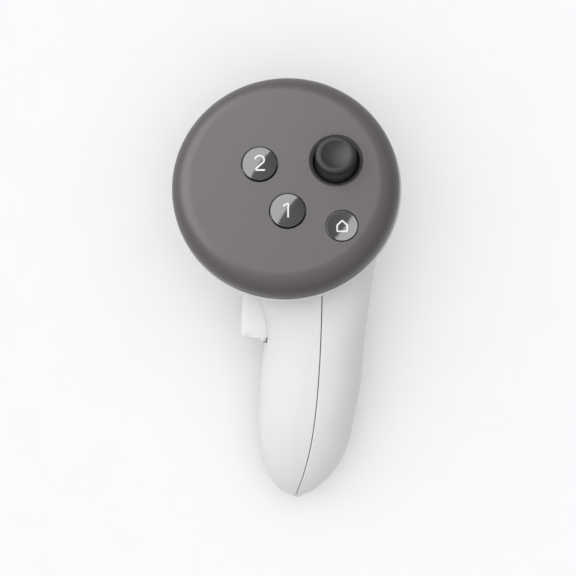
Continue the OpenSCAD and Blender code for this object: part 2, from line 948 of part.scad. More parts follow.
module grip_button() {
    color([0.93, 0.93, 0.93])
    grip_frame()
    difference() {
        union() {
            difference() {
                grip_solid(0);
                grip_solid(grip_wall);
            }
            translate([grip_hinge[0], grip_hinge[1], grip_barrel_low])
                cylinder(r = grip_barrel_r, h = grip_barrel_high - grip_barrel_low);
            translate([grip_web[0], grip_web[2], grip_barrel_low])
                cube([grip_web[1], grip_web[3], grip_barrel_high - grip_barrel_low]);
            translate(grip_magnet_at - [grip_magnet_seat, 0, 0])
                rotate([0, 90, 0])
                    cylinder(r = magnet_r + 0.8, h = grip_magnet_seat + magnet_t);
        }
        translate([grip_hinge[0], grip_hinge[1], 0])
            cylinder(r = bore_r, h = 3 * grip_depth, center = true);
        translate([grip_hinge[0], grip_hinge[1], grip_barrel_high + 0.1])
            cylinder(r = grip_barrel_r + 0.4, h = 5);
        translate(grip_magnet_at)
            rotate([0, 90, 0])
                cylinder(r = magnet_r + 0.05, h = 4);
    }
}

module grip_magnet() {
    color([0.5, 0.5, 0.53])
    grip_frame()
    translate(grip_magnet_at)
        rotate([0, 90, 0])
            cylinder(r = magnet_r, h = magnet_t - 0.4);
}

module grip_bracket() {
    color([0.2, 0.2, 0.22])
    grip_frame()
    difference() {
        union() {
            for (z = [grip_ear_low, grip_ear_high - grip_ear_t])
                translate([grip_hinge[0], grip_hinge[1], z]) {
                    cylinder(r = grip_ear_r, h = grip_ear_t);
                    translate([0, -grip_ear_r, 0])
                        cube([4, 2 * grip_ear_r, grip_ear_t]);
                }
            translate([grip_hinge[0] + 4 - grip_ear_t, grip_hinge[1] - grip_ear_r, grip_ear_low])
                cube([grip_ear_t, 2 * grip_ear_r, grip_ear_high - grip_ear_low]);
        }
        translate([grip_hinge[0], grip_hinge[1], 0])
            cylinder(r = pin_r + 0.02, h = 4 * grip_depth, center = true);
    }
}

module grip_pin() {
    color([0.7, 0.7, 0.72])
    grip_frame()
    translate([grip_hinge[0], grip_hinge[1], grip_ear_low + fit])
        cylinder(r = pin_r, h = grip_ear_high - grip_ear_low - 2 * fit);
}

module grip_spring() {
    color([0.7, 0.7, 0.72])
    grip_frame()
    translate([grip_hinge[0], grip_hinge[1], grip_depth / 2 - 3.0])
        coil(1.5, 0.22, 4, 0.6);
}

// ---------- handle ----------

module trigger_slot() {
    trigger_frame()
    trigger_sector(-trigger_rear - trigger_pull - 3, trigger_front + 2)
        translate([0, -trigger_w / 2 - trigger_clear])
            square([trigger_r + 2, trigger_w + 2 * trigger_clear]);
}

module grip_window() {
    grip_frame()
    intersection() {
        translate([-17, -30, -grip_depth / 2 - 0.4])
            cube([15, 30 + grip_top_y + 0.4, grip_depth + 0.8]);
        translate([grip_hinge[0], grip_hinge[1], 0])
            cylinder(r = grip_reach + 0.4, h = 4 * grip_depth, center = true, $fn = 120);
    }
}

module head_lip() {
    difference() {
        union() {
            translate([0, 0, -11.5])
                cylinder(r = lip_outer_r, h = lip_top + 11.5);
            translate([0, 0, -11.5])
                cylinder(r = lip_outer_r + 0.6, h = rim_z - 1 + 11.5);
        }
        translate([0, 0, -12])
            cylinder(r = lip_inner_r, h = 12);
    }
}

module cradle_boss(y) {
    cell_frame()
    translate([-cradle_in - 3.3, y, 0])
        rotate([0, -90, 0])
            difference() {
                cylinder(r = 2.2, h = 8);
                translate([0, 0, -eps])
                    cylinder(r = pilot_r, h = 5);
            }
}

// Stiffening rib between two points inside the shell
module rib(a, b) {
    hull() {
        translate(a)
            sphere(r = 0.6, $fn = 8);
        translate(b)
            sphere(r = 0.6, $fn = 8);
    }
}

module body_shell() {
    color([0.93, 0.93, 0.93])
    difference() {
        union() {
            difference() {
                body_outside();
                body_inside();
                translate([0, 0, rim_z])
                    cylinder(r = 2 * rim_r, h = 10);
            }
            head_lip();
            intersection() {
                body_middle();
                union() {
                    for (y = cradle_screws_y)
                        cradle_boss(y);
                    for (a = [150, 170, 190, 210])
                        rib(polar(lip_rib_r, a, lip_rib_top), polar(left_rib_r, a, lip_rib_foot));
                    for (a = [-40, -20, 20, 40])
                        rib(polar(lip_rib_r, a, lip_rib_top), polar(right_rib_r, a, lip_rib_foot));
                }
            }
        }
        cover_zone(0);
        trigger_slot();
        grip_window();
        translate([strap_at[0] - strap_lug_w / 2 - fit, strap_at[1] - strap_stem_w / 2 - fit, strap_at[2]])
            cube([strap_lug_w + 2 * fit, strap_stem_w + 2 * fit, strap_stem_h + fit]);
        translate(strap_at)
            rotate([0, 90, 0])
                cylinder(r = strap_lug_r + fit, h = strap_lug_w + 2 * fit, center = true);
        translate(scallop_at)
            sphere(r = scallop_r);
    }
}

// Point on a section at a given x, moved inward by d; up = 1 upper side, -1 lower side
function skin_point(i, x, d, up) =
    let (
        s = shrunk(all_sections[i - 1], all_sections[i], all_sections[i + 1], d),
        c = (x - (s[4] + s[5]) / 2) / ((s[5] - s[4]) / 2),
        n = up * pow(1 - pow(abs(c), s[6]), 1 / s[6])
    )
    [x, (s[0] + s[2]) / 2 + (s[0] - s[2]) / 2 * n, (s[1] + s[3]) / 2 + (s[1] - s[3]) / 2 * n];

hook_at = [[26, 10.1], [30, 9.6], [34, 8.8], [38, 7.6]];

// Snap tongue from the cover under the edge of the body
module hook(i, x, up) {
    hull() {
        translate(skin_point(i, x + 1.4, shell_wall + 0.45, up))
            sphere(r = 0.7, $fn = 10);
        translate(skin_point(i, x - 1.6, shell_wall + 1.2, up))
            sphere(r = 0.5, $fn = 10);
    }
}

module battery_cover() {
    color([0.9, 0.9, 0.91]) {
        intersection() {
            difference() {
                body_outside();
                body_inside();
            }
            cover_zone(seam_gap);
        }
        for (h = hook_at)
            for (up = [-1, 1])
                hook(h[0], h[1], up);
    }
}

module battery_cradle() {
    head_end = cell_len / 2 + 0.5;
    tip_end = -cell_len / 2 - 4;
    color([0.16, 0.16, 0.17])
    cell_frame()
    difference() {
        union() {
            intersection() {
                translate([0, head_end + 1.4, 0])
                    rotate([90, 0, 0])
                        difference() {
                            cylinder(r = cradle_out, h = head_end - tip_end + 2.8);
                            translate([0, 0, -1])
                                cylinder(r = cradle_in, h = head_end - tip_end + 5);
                        }
                union() {
                    translate([-20, cradle_tail_y, -20])
                        cube([20 + cradle_front_x, 60, 40]);
                    translate([-20, cradle_tail_y - 20, -cradle_tail_half])
                        cube([20 + cradle_front_x, 25, 2 * cradle_tail_half]);
                }
            }
            translate([0, head_end + 1.4, 0])
                rotate([90, 0, 0])
                    intersection() {
                        cylinder(r = cradle_out - 0.1, h = 1.4);
                        translate([-10, -10, -1])
                            cube([14, 20, 4]);
                    }
            translate([0, tip_end, 0])
                rotate([90, 0, 0])
                    intersection() {
                        cylinder(r = 5, h = 1.4);
                        translate([-10, -10, -1])
                            cube([14, 20, 4]);
                    }
            translate([-cradle_out + 0.4, tip_end - 1.4, -2])
                cube([cradle_out - 3, 1.4, 4]);
            for (y = cradle_screws_y)
                translate([-cradle_in - 3.1, y - 2.6, -2.6])
                    cube([2.6, 5.2, 5.2]);
        }
        for (y = cradle_screws_y)
            translate([-cradle_in + 1, y, 0])
                rotate([0, -90, 0]) {
                    cylinder(r = screw_head_r + 0.15, h = 2.5);
                    cylinder(r = pilot_r, h = 8);
                }
    }
}

module battery_cell() {
    color([0.2, 0.4, 0.62])
    cell_frame()
    rotate([90, 0, 0]) {
        translate([0, 0, -cell_len / 2 + 1.3])
            cylinder(r = cell_d / 2, h = cell_len - 1.3);
        translate([0, 0, -cell_len / 2])
            cylinder(r = 2.75, h = 2);
    }
}

module battery_spring() {
    color([0.75, 0.75, 0.77])
    cell_frame()
    translate([0, -cell_len / 2 - 0.35, 0])
        rotate([90, 0, 0])
            coil(3.2, 0.28, 4, 0.8);
}

module battery_contact() {
    color([0.78, 0.7, 0.4])
    cell_frame()
    translate([-3, cell_len / 2 + 0.1, -3])
        cube([6, 0.3, 6]);
}

module battery_flex() {
    color([0.72, 0.5, 0.16]) {
        translate([16, -20, -23])
            cube([5, 0.25, 10.4]);
        translate([16, -20, -12.85])
            cube([5, 8, 0.25]);
    }
}

module haptic_motor() {
    color([0.66, 0.66, 0.68])
    translate([0, -15, pcb_under - 8.6])
        cube([15, 10, 8]);
}

module strap_anchor() {
    color([0.86, 0.86, 0.87])
    translate(strap_at)
    difference() {
        union() {
            translate([-strap_lug_w / 2, 0, 0])
                rotate([0, 90, 0])
                    cylinder(r = strap_lug_r, h = strap_lug_w);
            translate([-strap_lug_w / 2, -strap_stem_w / 2, 0])
                cube([strap_lug_w, strap_stem_w, strap_stem_h]);
        }
        rotate([0, 90, 0])
            cylinder(r = strap_hole_r, h = 3 * strap_lug_w, center = true);
    }
}

lay() {
    face_cover();
    screws();
    inner_frame();
    led_ring_flex();
    ir_leds();
    button_membrane();
    switch_flex();
    button_a();
    button_b();
    home_button();
    main_pcb();
    stick_base();
    stick_sensors();
    click_switch();
    stick_yoke_x();
    stick_yoke_y();
    stick_hub();
    stick_shaft();
    stick_skirt();
    thumb_cap();
    stick_spring();
    trigger();
    trigger_magnet();
    trigger_bracket();
    trigger_pin();
    trigger_spring();
    sensor_chips();
    grip_button();
    grip_magnet();
    grip_bracket();
    grip_pin();
    grip_spring();
    body_shell();
    battery_cover();
    battery_cradle();
    battery_cell();
    battery_spring();
    battery_contact();
    battery_flex();
    haptic_motor();
    strap_anchor();
}
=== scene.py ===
import json
import math

import bmesh
import bpy
import numpy as np
from mathutils import Matrix, Vector
from mathutils.geometry import tessellate_polygon

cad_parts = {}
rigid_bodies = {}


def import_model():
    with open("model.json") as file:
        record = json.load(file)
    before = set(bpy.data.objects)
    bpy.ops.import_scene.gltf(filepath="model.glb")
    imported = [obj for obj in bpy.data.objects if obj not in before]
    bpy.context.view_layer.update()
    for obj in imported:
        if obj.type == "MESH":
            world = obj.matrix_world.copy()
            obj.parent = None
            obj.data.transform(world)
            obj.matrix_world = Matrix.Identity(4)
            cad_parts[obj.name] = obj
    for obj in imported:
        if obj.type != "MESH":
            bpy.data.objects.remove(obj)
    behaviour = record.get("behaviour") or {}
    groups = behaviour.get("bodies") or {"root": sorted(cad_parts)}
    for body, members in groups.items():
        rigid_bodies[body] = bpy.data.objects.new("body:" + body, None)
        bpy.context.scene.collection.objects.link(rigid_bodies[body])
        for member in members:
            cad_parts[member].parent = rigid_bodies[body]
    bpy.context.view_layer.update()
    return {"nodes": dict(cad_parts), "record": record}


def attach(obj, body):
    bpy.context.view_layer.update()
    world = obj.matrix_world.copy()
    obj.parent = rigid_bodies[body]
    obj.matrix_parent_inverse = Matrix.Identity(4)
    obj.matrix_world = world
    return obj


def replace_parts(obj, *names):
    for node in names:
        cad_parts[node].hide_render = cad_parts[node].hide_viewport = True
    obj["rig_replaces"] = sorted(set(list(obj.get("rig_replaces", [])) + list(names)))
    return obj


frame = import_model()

# ---------- the head frame: millimetres, origin at the centre of the face, +z out of it ----------

MM = 0.001
FACE_AT = np.array([-0.4, 31.71, 35.32])
PITCH, ROLL = math.radians(-15.1), math.radians(-2.8)
TURN = np.array(Matrix.Rotation(ROLL, 3, "Y") @ Matrix.Rotation(PITCH, 3, "X"))


def placed(points):
    """Head frame in millimetres to the shared frame in metres."""
    return (np.asarray(points, float) @ TURN.T + FACE_AT) * MM


# ---------- materials ----------


class Look:
    """One procedural material: keyword names are the shader's sockets, with _ for a space."""

    def __init__(self, name, **sockets):
        self.material = bpy.data.materials.new(name)
        self.material.use_nodes = True
        self.tree = self.material.node_tree
        self.shader = self.tree.nodes["Principled BSDF"]
        for key, value in sockets.items():
            self.shader.inputs[key.replace("_", " ")].default_value = value
        self.coords = self.add("ShaderNodeTexCoord").outputs["Object"]

    def add(self, kind, **settings):
        node = self.tree.nodes.new(kind)
        for key, value in settings.items():
            setattr(node, key, value)
        return node

    def link(self, a, b):
        self.tree.links.new(a, b)

    def noise(self, scale, detail=4.0, rough=0.55, stretch=None):
        node = self.add("ShaderNodeTexNoise")
        node.inputs["Scale"].default_value = scale
        node.inputs["Detail"].default_value = detail
        node.inputs["Roughness"].default_value = rough
        source = self.coords
        if stretch:
            mapping = self.add("ShaderNodeMapping")
            mapping.inputs["Scale"].default_value = stretch
            self.link(source, mapping.inputs["Vector"])
            source = mapping.outputs["Vector"]
        self.link(source, node.inputs["Vector"])
        return node.outputs["Fac"]

    def cells(self, scale):
        node = self.add("ShaderNodeTexVoronoi")
        node.inputs["Scale"].default_value = scale
        self.link(self.coords, node.inputs["Vector"])
        return node.outputs["Distance"]

    def ramp(self, source, stops):
        node = self.add("ShaderNodeValToRGB")
        while len(node.color_ramp.elements) < len(stops):
            node.color_ramp.elements.new(0.5)
        for element, (at, colour) in zip(node.color_ramp.elements, stops):
            element.position = at
            element.color = (*colour, 1)
        self.link(source, node.inputs["Fac"])
        return node.outputs["Color"]

    def spread(self, source, low, high, start=0.3, end=0.7):
        node = self.add("ShaderNodeMapRange")
        node.inputs["From Min"].default_value = start
        node.inputs["From Max"].default_value = end
        node.inputs["To Min"].default_value = low
        node.inputs["To Max"].default_value = high
        self.link(source, node.inputs["Value"])
        return node.outputs["Result"]

    def colour(self, source):
        self.link(source, self.shader.inputs["Base Color"])

    def roughness(self, source):
        self.link(source, self.shader.inputs["Roughness"])

    def bump(self, source, strength, distance):
        node = self.add("ShaderNodeBump")
        node.inputs["Strength"].default_value = strength
        node.inputs["Distance"].default_value = distance
        self.link(source, node.inputs["Height"])
        self.link(node.outputs["Normal"], self.shader.inputs["Normal"])


def shade(colour, factor):
    return tuple(c * factor for c in colour)


def moulded(name, colour, rough, vary=0.04, **sockets):
    """Fine-grained moulded plastic: slight cloudiness, a fine texture and uneven sheen."""
    look = Look(name, **sockets)
    cloud = look.noise(38, 3, 0.5)
    shades = [(0.3, shade(colour, 1 - vary)), (0.7, shade(colour, 1 + vary))]
    look.colour(look.ramp(cloud, shades))
    fine = look.noise(2200, 3, 0.6)
    look.roughness(look.spread(fine, rough - 0.04, rough + 0.05))
    look.bump(fine, 0.5, 0.00002)
    return look.material


def dark_face():
    """Dark satin plastic of the face: faint cloudiness under a fine darker grain."""
    look = Look("dark_satin_plastic", Specular_IOR_Level=0.3)
    base = (0.078, 0.070, 0.0768)
    cloud = look.noise(30, 4, 0.55)
    grain = look.noise(3000, 3, 0.65)
    mix = look.add("ShaderNodeMix", data_type="RGBA", blend_type="MULTIPLY")
    mix.inputs["Factor"].default_value = 0.35
    clouded = look.ramp(cloud, [(0.25, shade(base, 0.97)), (0.75, shade(base, 1.04))])
    grained = look.ramp(grain, [(0.3, (0.8, 0.8, 0.8)), (0.7, (1, 1, 1))])
    look.link(clouded, mix.inputs["A"])
    look.link(grained, mix.inputs["B"])
    look.colour(mix.outputs["Result"])
    look.roughness(look.spread(grain, 0.30, 0.38))
    look.bump(grain, 0.35, 0.00003)
    return look.material


def gloss_button():
    """Glossy near-black plastic with a thin clear coat and faint wipe marks."""
    look = Look(
        "button_gloss_plastic", Specular_IOR_Level=0.5, Coat_Weight=0.3, Coat_Roughness=0.05
    )
    speck = look.noise(900, 3, 0.6)
    look.colour(look.ramp(speck, [(0.3, (0.011, 0.010, 0.011)), (0.7, (0.015, 0.0135, 0.015))]))
    wipe = look.noise(160, 4, 0.6, stretch=(1, 3, 1))
    look.roughness(look.spread(wipe, 0.10, 0.17))
    look.bump(speck, 0.05, 0.00001)
    return look.material


def stick_rubber():
    """Black rubber with a little dust and fine pits."""
    look = Look("stick_rubber", Specular_IOR_Level=0.3)
    dust = look.noise(240, 5, 0.6)
    look.colour(look.ramp(dust, [(0.3, (0.010, 0.0096, 0.010)), (0.75, (0.015, 0.0145, 0.015))]))
    pits = look.cells(3600)
    look.roughness(look.spread(dust, 0.36, 0.46))
    look.bump(pits, 0.5, 0.00002)
    return look.material


def brushed(name, colour, rough):
    """Bare or plated metal with fine lines along one axis."""
    look = Look(name, Metallic=1.0)
    lines = look.noise(1500, 3, 0.7, stretch=(1, 12, 1))
    look.colour(look.ramp(lines, [(0.3, shade(colour, 0.85)), (0.7, colour)]))
    look.roughness(look.spread(lines, rough - 0.06, rough + 0.08))
    look.bump(lines, 0.3, 0.00001)
    return look.material


def board_mask():
    """Green solder mask with a pattern of cells like tracks."""
    look = Look("board_mask", Specular_IOR_Level=0.5)
    tracks = look.cells(520)
    look.colour(look.ramp(tracks, [(0.2, (0.008, 0.09, 0.045)), (0.45, (0.015, 0.14, 0.07))]))
    look.roughness(look.spread(look.noise(800), 0.3, 0.42))
    look.bump(tracks, 0.4, 0.00003)
    return look.material


def copper_flex():
    """Amber film with copper tracks."""
    look = Look("flex_film", Specular_IOR_Level=0.5)
    tracks = look.noise(1400, 2, 0.5, stretch=(1, 0.1, 1))
    look.colour(look.ramp(tracks, [(0.4, (0.42, 0.21, 0.04)), (0.6, (0.55, 0.3, 0.07))]))
    look.roughness(look.spread(tracks, 0.3, 0.42))
    look.bump(tracks, 0.3, 0.00002)
    return look.material


def silicone():
    """Pale translucent silicone."""
    look = Look(
        "membrane_silicone", Subsurface_Weight=0.15, Subsurface_Radius=(0.001, 0.001, 0.001)
    )
    cloud = look.noise(420, 4, 0.6)
    look.colour(look.ramp(cloud, [(0.3, (0.48, 0.48, 0.5)), (0.7, (0.56, 0.56, 0.58))]))
    look.roughness(look.spread(cloud, 0.5, 0.62))
    look.bump(cloud, 0.3, 0.00003)
    return look.material


def cell_wrap():
    """Plain blue sleeve of a battery cell, scuffed and without lettering."""
    look = Look("cell_wrap", Coat_Weight=0.3, Coat_Roughness=0.15)
    scuff = look.noise(300, 4, 0.6)
    look.colour(look.ramp(scuff, [(0.3, (0.03, 0.12, 0.3)), (0.7, (0.04, 0.15, 0.36))]))
    look.roughness(look.spread(scuff, 0.24, 0.36))
    look.bump(scuff, 0.2, 0.00002)
    return look.material


DARK = dark_face()
GLOSS = gloss_button()
WHITE = moulded(
    "white_satin_plastic", (0.605, 0.594, 0.593), 0.42, vary=0.012, Specular_IOR_Level=0.45
)
# White of the grip pad: a lighter copy of the body's white plastic, painted light where the raised pad
# faces the light, and a little rougher
PAD_WHITE_PAINTED_LIGHTER = moulded(
    "white_pad_painted_lighter", (0.65, 0.638, 0.637), 0.5, vary=0.012, Specular_IOR_Level=0.4
)
PALE = moulded("pale_plastic", (0.62, 0.62, 0.63), 0.45)
LEGEND = moulded("legend_white", (0.62, 0.62, 0.62), 0.28, vary=0.01)
RUBBER = stick_rubber()
INNER = moulded("inner_black_plastic", (0.022, 0.022, 0.024), 0.5, vary=0.1)
STEEL = brushed("brushed_steel", (0.62, 0.62, 0.64), 0.3)
MAGNET = brushed("nickel_plate", (0.5, 0.49, 0.47), 0.24)
CONTACT = brushed("gilt_contact", (0.75, 0.6, 0.3), 0.25)
CHIP = moulded("chip_epoxy", (0.012, 0.012, 0.013), 0.45, vary=0.1)
# The material of each slot, for the CAD pieces that stay visible
FINISH = {
    "dark_plastic": DARK,
    "button_gloss": GLOSS,
    "white_plastic": WHITE,
    "stick_rubber": RUBBER,
    "inner_plastic": INNER,
    "steel": STEEL,
    "silicone": silicone(),
    "flex": copper_flex(),
    "board": board_mask(),
    "chip": CHIP,
    "magnet": MAGNET,
    "cell_label": cell_wrap(),
    "contact_metal": CONTACT,
    "pale_plastic": PALE,
}

# ---------- mesh helpers ----------

# In metres: points closer than WELD become one, edges shorter than SLIVER go
WELD, SLIVER = 2e-7, 1e-7
# Part of a line's length that the rounding at one of its ends may use
LONGEST_CUT = 0.49


def piece(name, verts, faces, body, material, slot, replaces=(), sharp=40):
    """Adds one visual piece, drawn in the head frame, that rides on a body."""
    mesh = bpy.data.meshes.new(name)
    mesh.from_pydata(placed(verts).tolist(), [], [list(map(int, f)) for f in faces])
    bm = bmesh.new()
    bm.from_mesh(mesh)
    bmesh.ops.remove_doubles(bm, verts=bm.verts, dist=WELD)
    bmesh.ops.dissolve_degenerate(bm, dist=SLIVER, edges=bm.edges)
    bmesh.ops.recalc_face_normals(bm, faces=bm.faces)
    bm.to_mesh(mesh)
    bm.free()
    mesh.materials.append(material)
    mesh.polygons.foreach_set("use_smooth", [True] * len(mesh.polygons))
    mesh.set_sharp_from_angle(angle=math.radians(sharp))
    obj = bpy.data.objects.new(name, mesh)
    bpy.context.scene.collection.objects.link(obj)
    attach(obj, body)
    if replaces:
        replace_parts(obj, *replaces)


def rounded(points, radii, closed=False, seg=6):
    """A polyline whose corners are rounded by arcs of the given radii."""
    pts = [np.array(p, float) for p in points]
    n = len(pts)
    out = []
    for i, (p, r) in enumerate(zip(pts, radii)):
        if r <= 0 or (not closed and i in (0, n - 1)):
            out.append(p)
            continue
        a, b = pts[i - 1] - p, pts[(i + 1) % n] - p
        la, lb = np.linalg.norm(a), np.linalg.norm(b)
        a, b = a / la, b / lb
        half = math.acos(max(-1, min(1, a @ b))) / 2
        almost_straight = abs(half - math.pi / 2) < 1e-4
        if almost_straight:
            out.append(p)
            continue
        r = min(r, LONGEST_CUT * min(la, lb) * math.tan(half))
        middle = p + (a + b) / np.linalg.norm(a + b) * r / math.sin(half)
        s = p + a * r / math.tan(half) - middle
        e = p + b * r / math.tan(half) - middle
        sweep = math.atan2(s[0] * e[1] - s[1] * e[0], s @ e)
        for k in range(seg + 1):
            c, d = math.cos(sweep * k / seg), math.sin(sweep * k / seg)
            out.append(middle + [s[0] * c - s[1] * d, s[0] * d + s[1] * c])
    return out


def circle(at, r, z, n):
    """n points on a level circle."""
    turns = [2 * math.pi * k / n for k in range(n)]
    return [(at[0] + r * math.cos(t), at[1] + r * math.sin(t), z) for t in turns]


def polar(r, degrees):
    """A point at a distance and a direction from the origin."""
    return (r * math.cos(math.radians(degrees)), r * math.sin(math.radians(degrees)))


def lathe(profile, at=(0, 0), n=128):
    """Turns a profile of (radius, z) about an upright axis."""
    verts, rows, faces = [], [], []
    for r, z in profile:
        if r < 1e-6:
            rows.append([len(verts)] * n)
            verts.append((at[0], at[1], z))
        else:
            rows.append(list(range(len(verts), len(verts) + n)))
            verts += circle(at, r, z, n)
    for a, b in zip(rows, rows[1:]):
        for k in range(n):
            j = (k + 1) % n
            faces.append(list(dict.fromkeys([a[k], a[j], b[j], b[k]])))
    return verts, [f for f in faces if len(f) > 2]


def joined(*parts):
    """Several parts, each (points, faces), as one."""
    verts, faces = [], []
    for v, f in parts:
        faces += [[i + len(verts) for i in face] for face in f]
        verts += [tuple(p) for p in v]
    return verts, faces


def arc(cx, cz, r, start, end, n):
    """n steps of an arc from start to end degrees."""
    return [
        (cx + r * math.cos(math.radians(start + (end - start) * k / n)),
         cz + r * math.sin(math.radians(start + (end - start) * k / n)))
        for k in range(n + 1)
    ]


def slab(outline, half, edge, seg=6):
    """A closed outline given thickness along its own z, with every long edge rounded."""
    line = np.array(outline, float)
    ahead = np.roll(line, -1, 0)
    step = ahead - np.roll(line, 1, 0)
    area = 0.5 * np.sum(line[:, 0] * ahead[:, 1] - ahead[:, 0] * line[:, 1])
    normal = np.c_[-step[:, 1], step[:, 0]] / np.linalg.norm(step, axis=1)[:, None]
    if area < 0:
        normal = -normal
    verts, faces, n = [], [], len(line)
    levels = []
    for k in range(seg + 1):
        t = math.pi / 2 * k / seg
        levels.append((edge * (1 - math.sin(t)), -half + edge * (1 - math.cos(t))))
    levels += [(inset, -z) for inset, z in reversed(levels)]
    for inset, z in levels:
        verts += [(*p, z) for p in line + normal * inset]
    for j in range(len(levels) - 1):
        for i in range(n):
            k = (i + 1) % n
            faces.append([j * n + i, j * n + k, (j + 1) * n + k, (j + 1) * n + i])
    for j in (0, len(levels) - 1):
        ring = [Vector(verts[j * n + i]) for i in range(n)]
        faces += [[j * n + i for i in tri] for tri in tessellate_polygon([ring])]
    return verts, faces


def moved(part, basis, at):
    """Puts a part drawn in a local frame into the head frame. Basis rows are the local axes."""
    verts, faces = part
    return (np.array(verts) @ np.array(basis, float) + np.array(at, float)).tolist(), faces


# ---------- the handle surface ----------

# Columns of the sections, which run from the rim to the tip
UPPER_Y, UPPER_Z, LOWER_Y, LOWER_Z, LEFT_X, RIGHT_X, SQUARENESS = range(7)
SECTIONS = np.array([
    [-34.1, -8.6, 34.1, -8.6, -34.1, 34.1, 2.0],
    [-33.8, -10.4, 33.5, -11.0, -33.7, 33.7, 2.0],
    [-32.9, -12.4, 30.2, -14.8, -31.0, 32.0, 2.0],
    [-32.4, -13.6, 22.5, -18.4, -25.5, 29.4, 2.0],
    [-33.4, -14.6, 11.0, -23.0, -18.5, 27.6, 2.1],
    [-36.5, -16.0, -3.0, -29.4, -12.0, 25.9, 2.2],
    [-42.0, -18.2, -17.0, -36.2, -8.0, 24.3, 2.3],
    [-49.5, -21.4, -31.0, -42.7, -7.3, 22.9, 2.3],
    [-58.0, -25.4, -44.0, -48.0, -8.4, 21.9, 2.3],
    [-66.5, -30.0, -56.0, -51.8, -8.9, 19.8, 2.3],
    [-74.0, -35.4, -66.0, -54.0, -8.4, 17.5, 2.3],
    [-80.0, -41.2, -74.5, -54.2, -6.2, 13.1, 2.2],
    [-83.1, -46.0, -80.7, -53.5, -2.8, 7.7, 2.1],
    [-83.9, -48.5, -83.2, -51.9, 0.4, 4.4, 2.0],
    [-84.4, -49.7, -84.2, -50.7, 1.9, 2.9, 2.0],
])
SPAN = len(SECTIONS) - 1
# From this section on the inner skin closes to a point
INNER_SPAN = SPAN - 2
WALL = 1.8
TIP_BULGE = 0.12
# Distance in u to the neighbouring sections that give the slope of the surface
NEIGHBOUR = 0.25
# Limit on how far the side wall is thickened where the side slopes
MOST_LEAN = 1.6
# Seam between body and battery cover: x against the distance along the seam frame
SEAM = np.array([
    [11.0, 12], [10.9, -20], [10.6, -36.5], [10.3, -45.8], [9.9, -53.9], [9.2, -63.3],
    [8.1, -73.0], [6.5, -82.0], [4.4, -89.8], [2.6, -95.0], [1.6, -98], [1.0, -104],
])


def smooth_rows(table, u):
    """Catmull-Rom rows of a table at fractional positions u."""
    p = np.vstack([2 * table[0] - table[1], table, 2 * table[-1] - table[-2]])
    i = np.clip(np.floor(u).astype(int), 0, len(table) - 2)
    t = (u - i)[:, None]
    a, b, c, d = p[i], p[i + 1], p[i + 2], p[i + 3]
    second = 2 * a - 5 * b + 4 * c - d
    third = 3 * b - a - 3 * c + d
    return 0.5 * (2 * b + (c - a) * t + second * t**2 + third * t**3)


def ring_points(rows, angle):
    """Points of the sections at the given angles; each section is a superellipse."""
    c, s, e = np.cos(angle), np.sin(angle), 2 / rows[:, SQUARENESS]
    c, s = np.sign(c) * np.abs(c) ** e, np.sign(s) * np.abs(s) ** e
    return ring_centre(rows) + np.c_[
        (rows[:, RIGHT_X] - rows[:, LEFT_X]) / 2 * c,
        (rows[:, UPPER_Y] - rows[:, LOWER_Y]) / 2 * s,
        (rows[:, UPPER_Z] - rows[:, LOWER_Z]) / 2 * s,
    ]


def ring_centre(rows):
    return np.c_[
        (rows[:, LEFT_X] + rows[:, RIGHT_X]) / 2,
        (rows[:, UPPER_Y] + rows[:, LOWER_Y]) / 2,
        (rows[:, UPPER_Z] + rows[:, LOWER_Z]) / 2,
    ]


def outside(u, angle):
    """Points of the outer skin. Beyond SPAN the last section closes in a small bulge."""
    rows = smooth_rows(SECTIONS, np.minimum(u, SPAN))
    at = ring_points(rows, angle)
    over = np.clip(u - SPAN, 0, 1)[:, None] * math.pi / 2
    middle = ring_centre(rows)
    ahead = ring_centre(smooth_rows(SECTIONS, np.array([SPAN, SPAN - 0.1])))
    way = (ahead[0] - ahead[1]) / np.linalg.norm(ahead[0] - ahead[1])
    return middle + (at - middle) * np.cos(over) + way * TIP_BULGE * np.sin(over)


def wall_rows(u):
    """Rows of the surface drawn in by the wall thickness."""
    u = np.clip(u, 0, INNER_SPAN)
    a = smooth_rows(SECTIONS, np.maximum(u - NEIGHBOUR, 0))
    s = smooth_rows(SECTIONS, u)
    b = smooth_rows(SECTIONS, u + NEIGHBOUR)
    upper, lower = slice(UPPER_Y, UPPER_Z + 1), slice(LOWER_Y, LOWER_Z + 1)
    across = s[:, lower] - s[:, upper]
    out = s.copy()
    for cols, toward in ((upper, across), (lower, -across)):
        step = b[:, cols] - a[:, cols]
        n = np.c_[step[:, 1], -step[:, 0]] / np.linalg.norm(step, axis=1)[:, None]
        n *= np.sign(np.sum(n * toward, axis=1))[:, None]
        out[:, cols] = s[:, cols] + WALL * n
    run = np.linalg.norm(b[:, upper] - a[:, upper] + b[:, lower] - a[:, lower], axis=1) / 2
    for col, way in ((LEFT_X, 1), (RIGHT_X, -1)):
        lean = np.hypot(b[:, col] - a[:, col], run) / run
        out[:, col] += way * WALL * np.minimum(MOST_LEAN, lean)
    return out


def inside(u, angle):
    """Points of the inner skin, which draws together to a point towards the tip."""
    rows = wall_rows(u)
    at, middle = ring_points(rows, angle), ring_centre(rows)
    over = np.clip((SPAN + 1 - u) / (SPAN + 1 - INNER_SPAN), 0, 1)[:, None]
    return middle + (at - middle) * over


def turned_x(points, degrees):
    """y and z of the points in a frame turned about x."""
    t = math.radians(degrees)
    y, z = points[:, 1], points[:, 2]
    return y * math.cos(t) + z * math.sin(t), z * math.cos(t) - y * math.sin(t)


def corner(fields, r):
    """Inside distance to several limits at once, with the corners between them rounded."""
    f = np.array(fields)
    g = np.sqrt(np.sum(np.maximum(0, r - f) ** 2, axis=0))
    return np.where(g > 0, r - g, f.min(0))


NECK_Z, NECK_TURN = -20.4, -18.85
SEAM_TURN, SEAM_CORNER, SEAM_GAP = 24, 2.0, 0.25
SEAM_FINE = smooth_rows(SEAM, np.linspace(0, len(SEAM) - 1, 12 * len(SEAM)))[::-1]


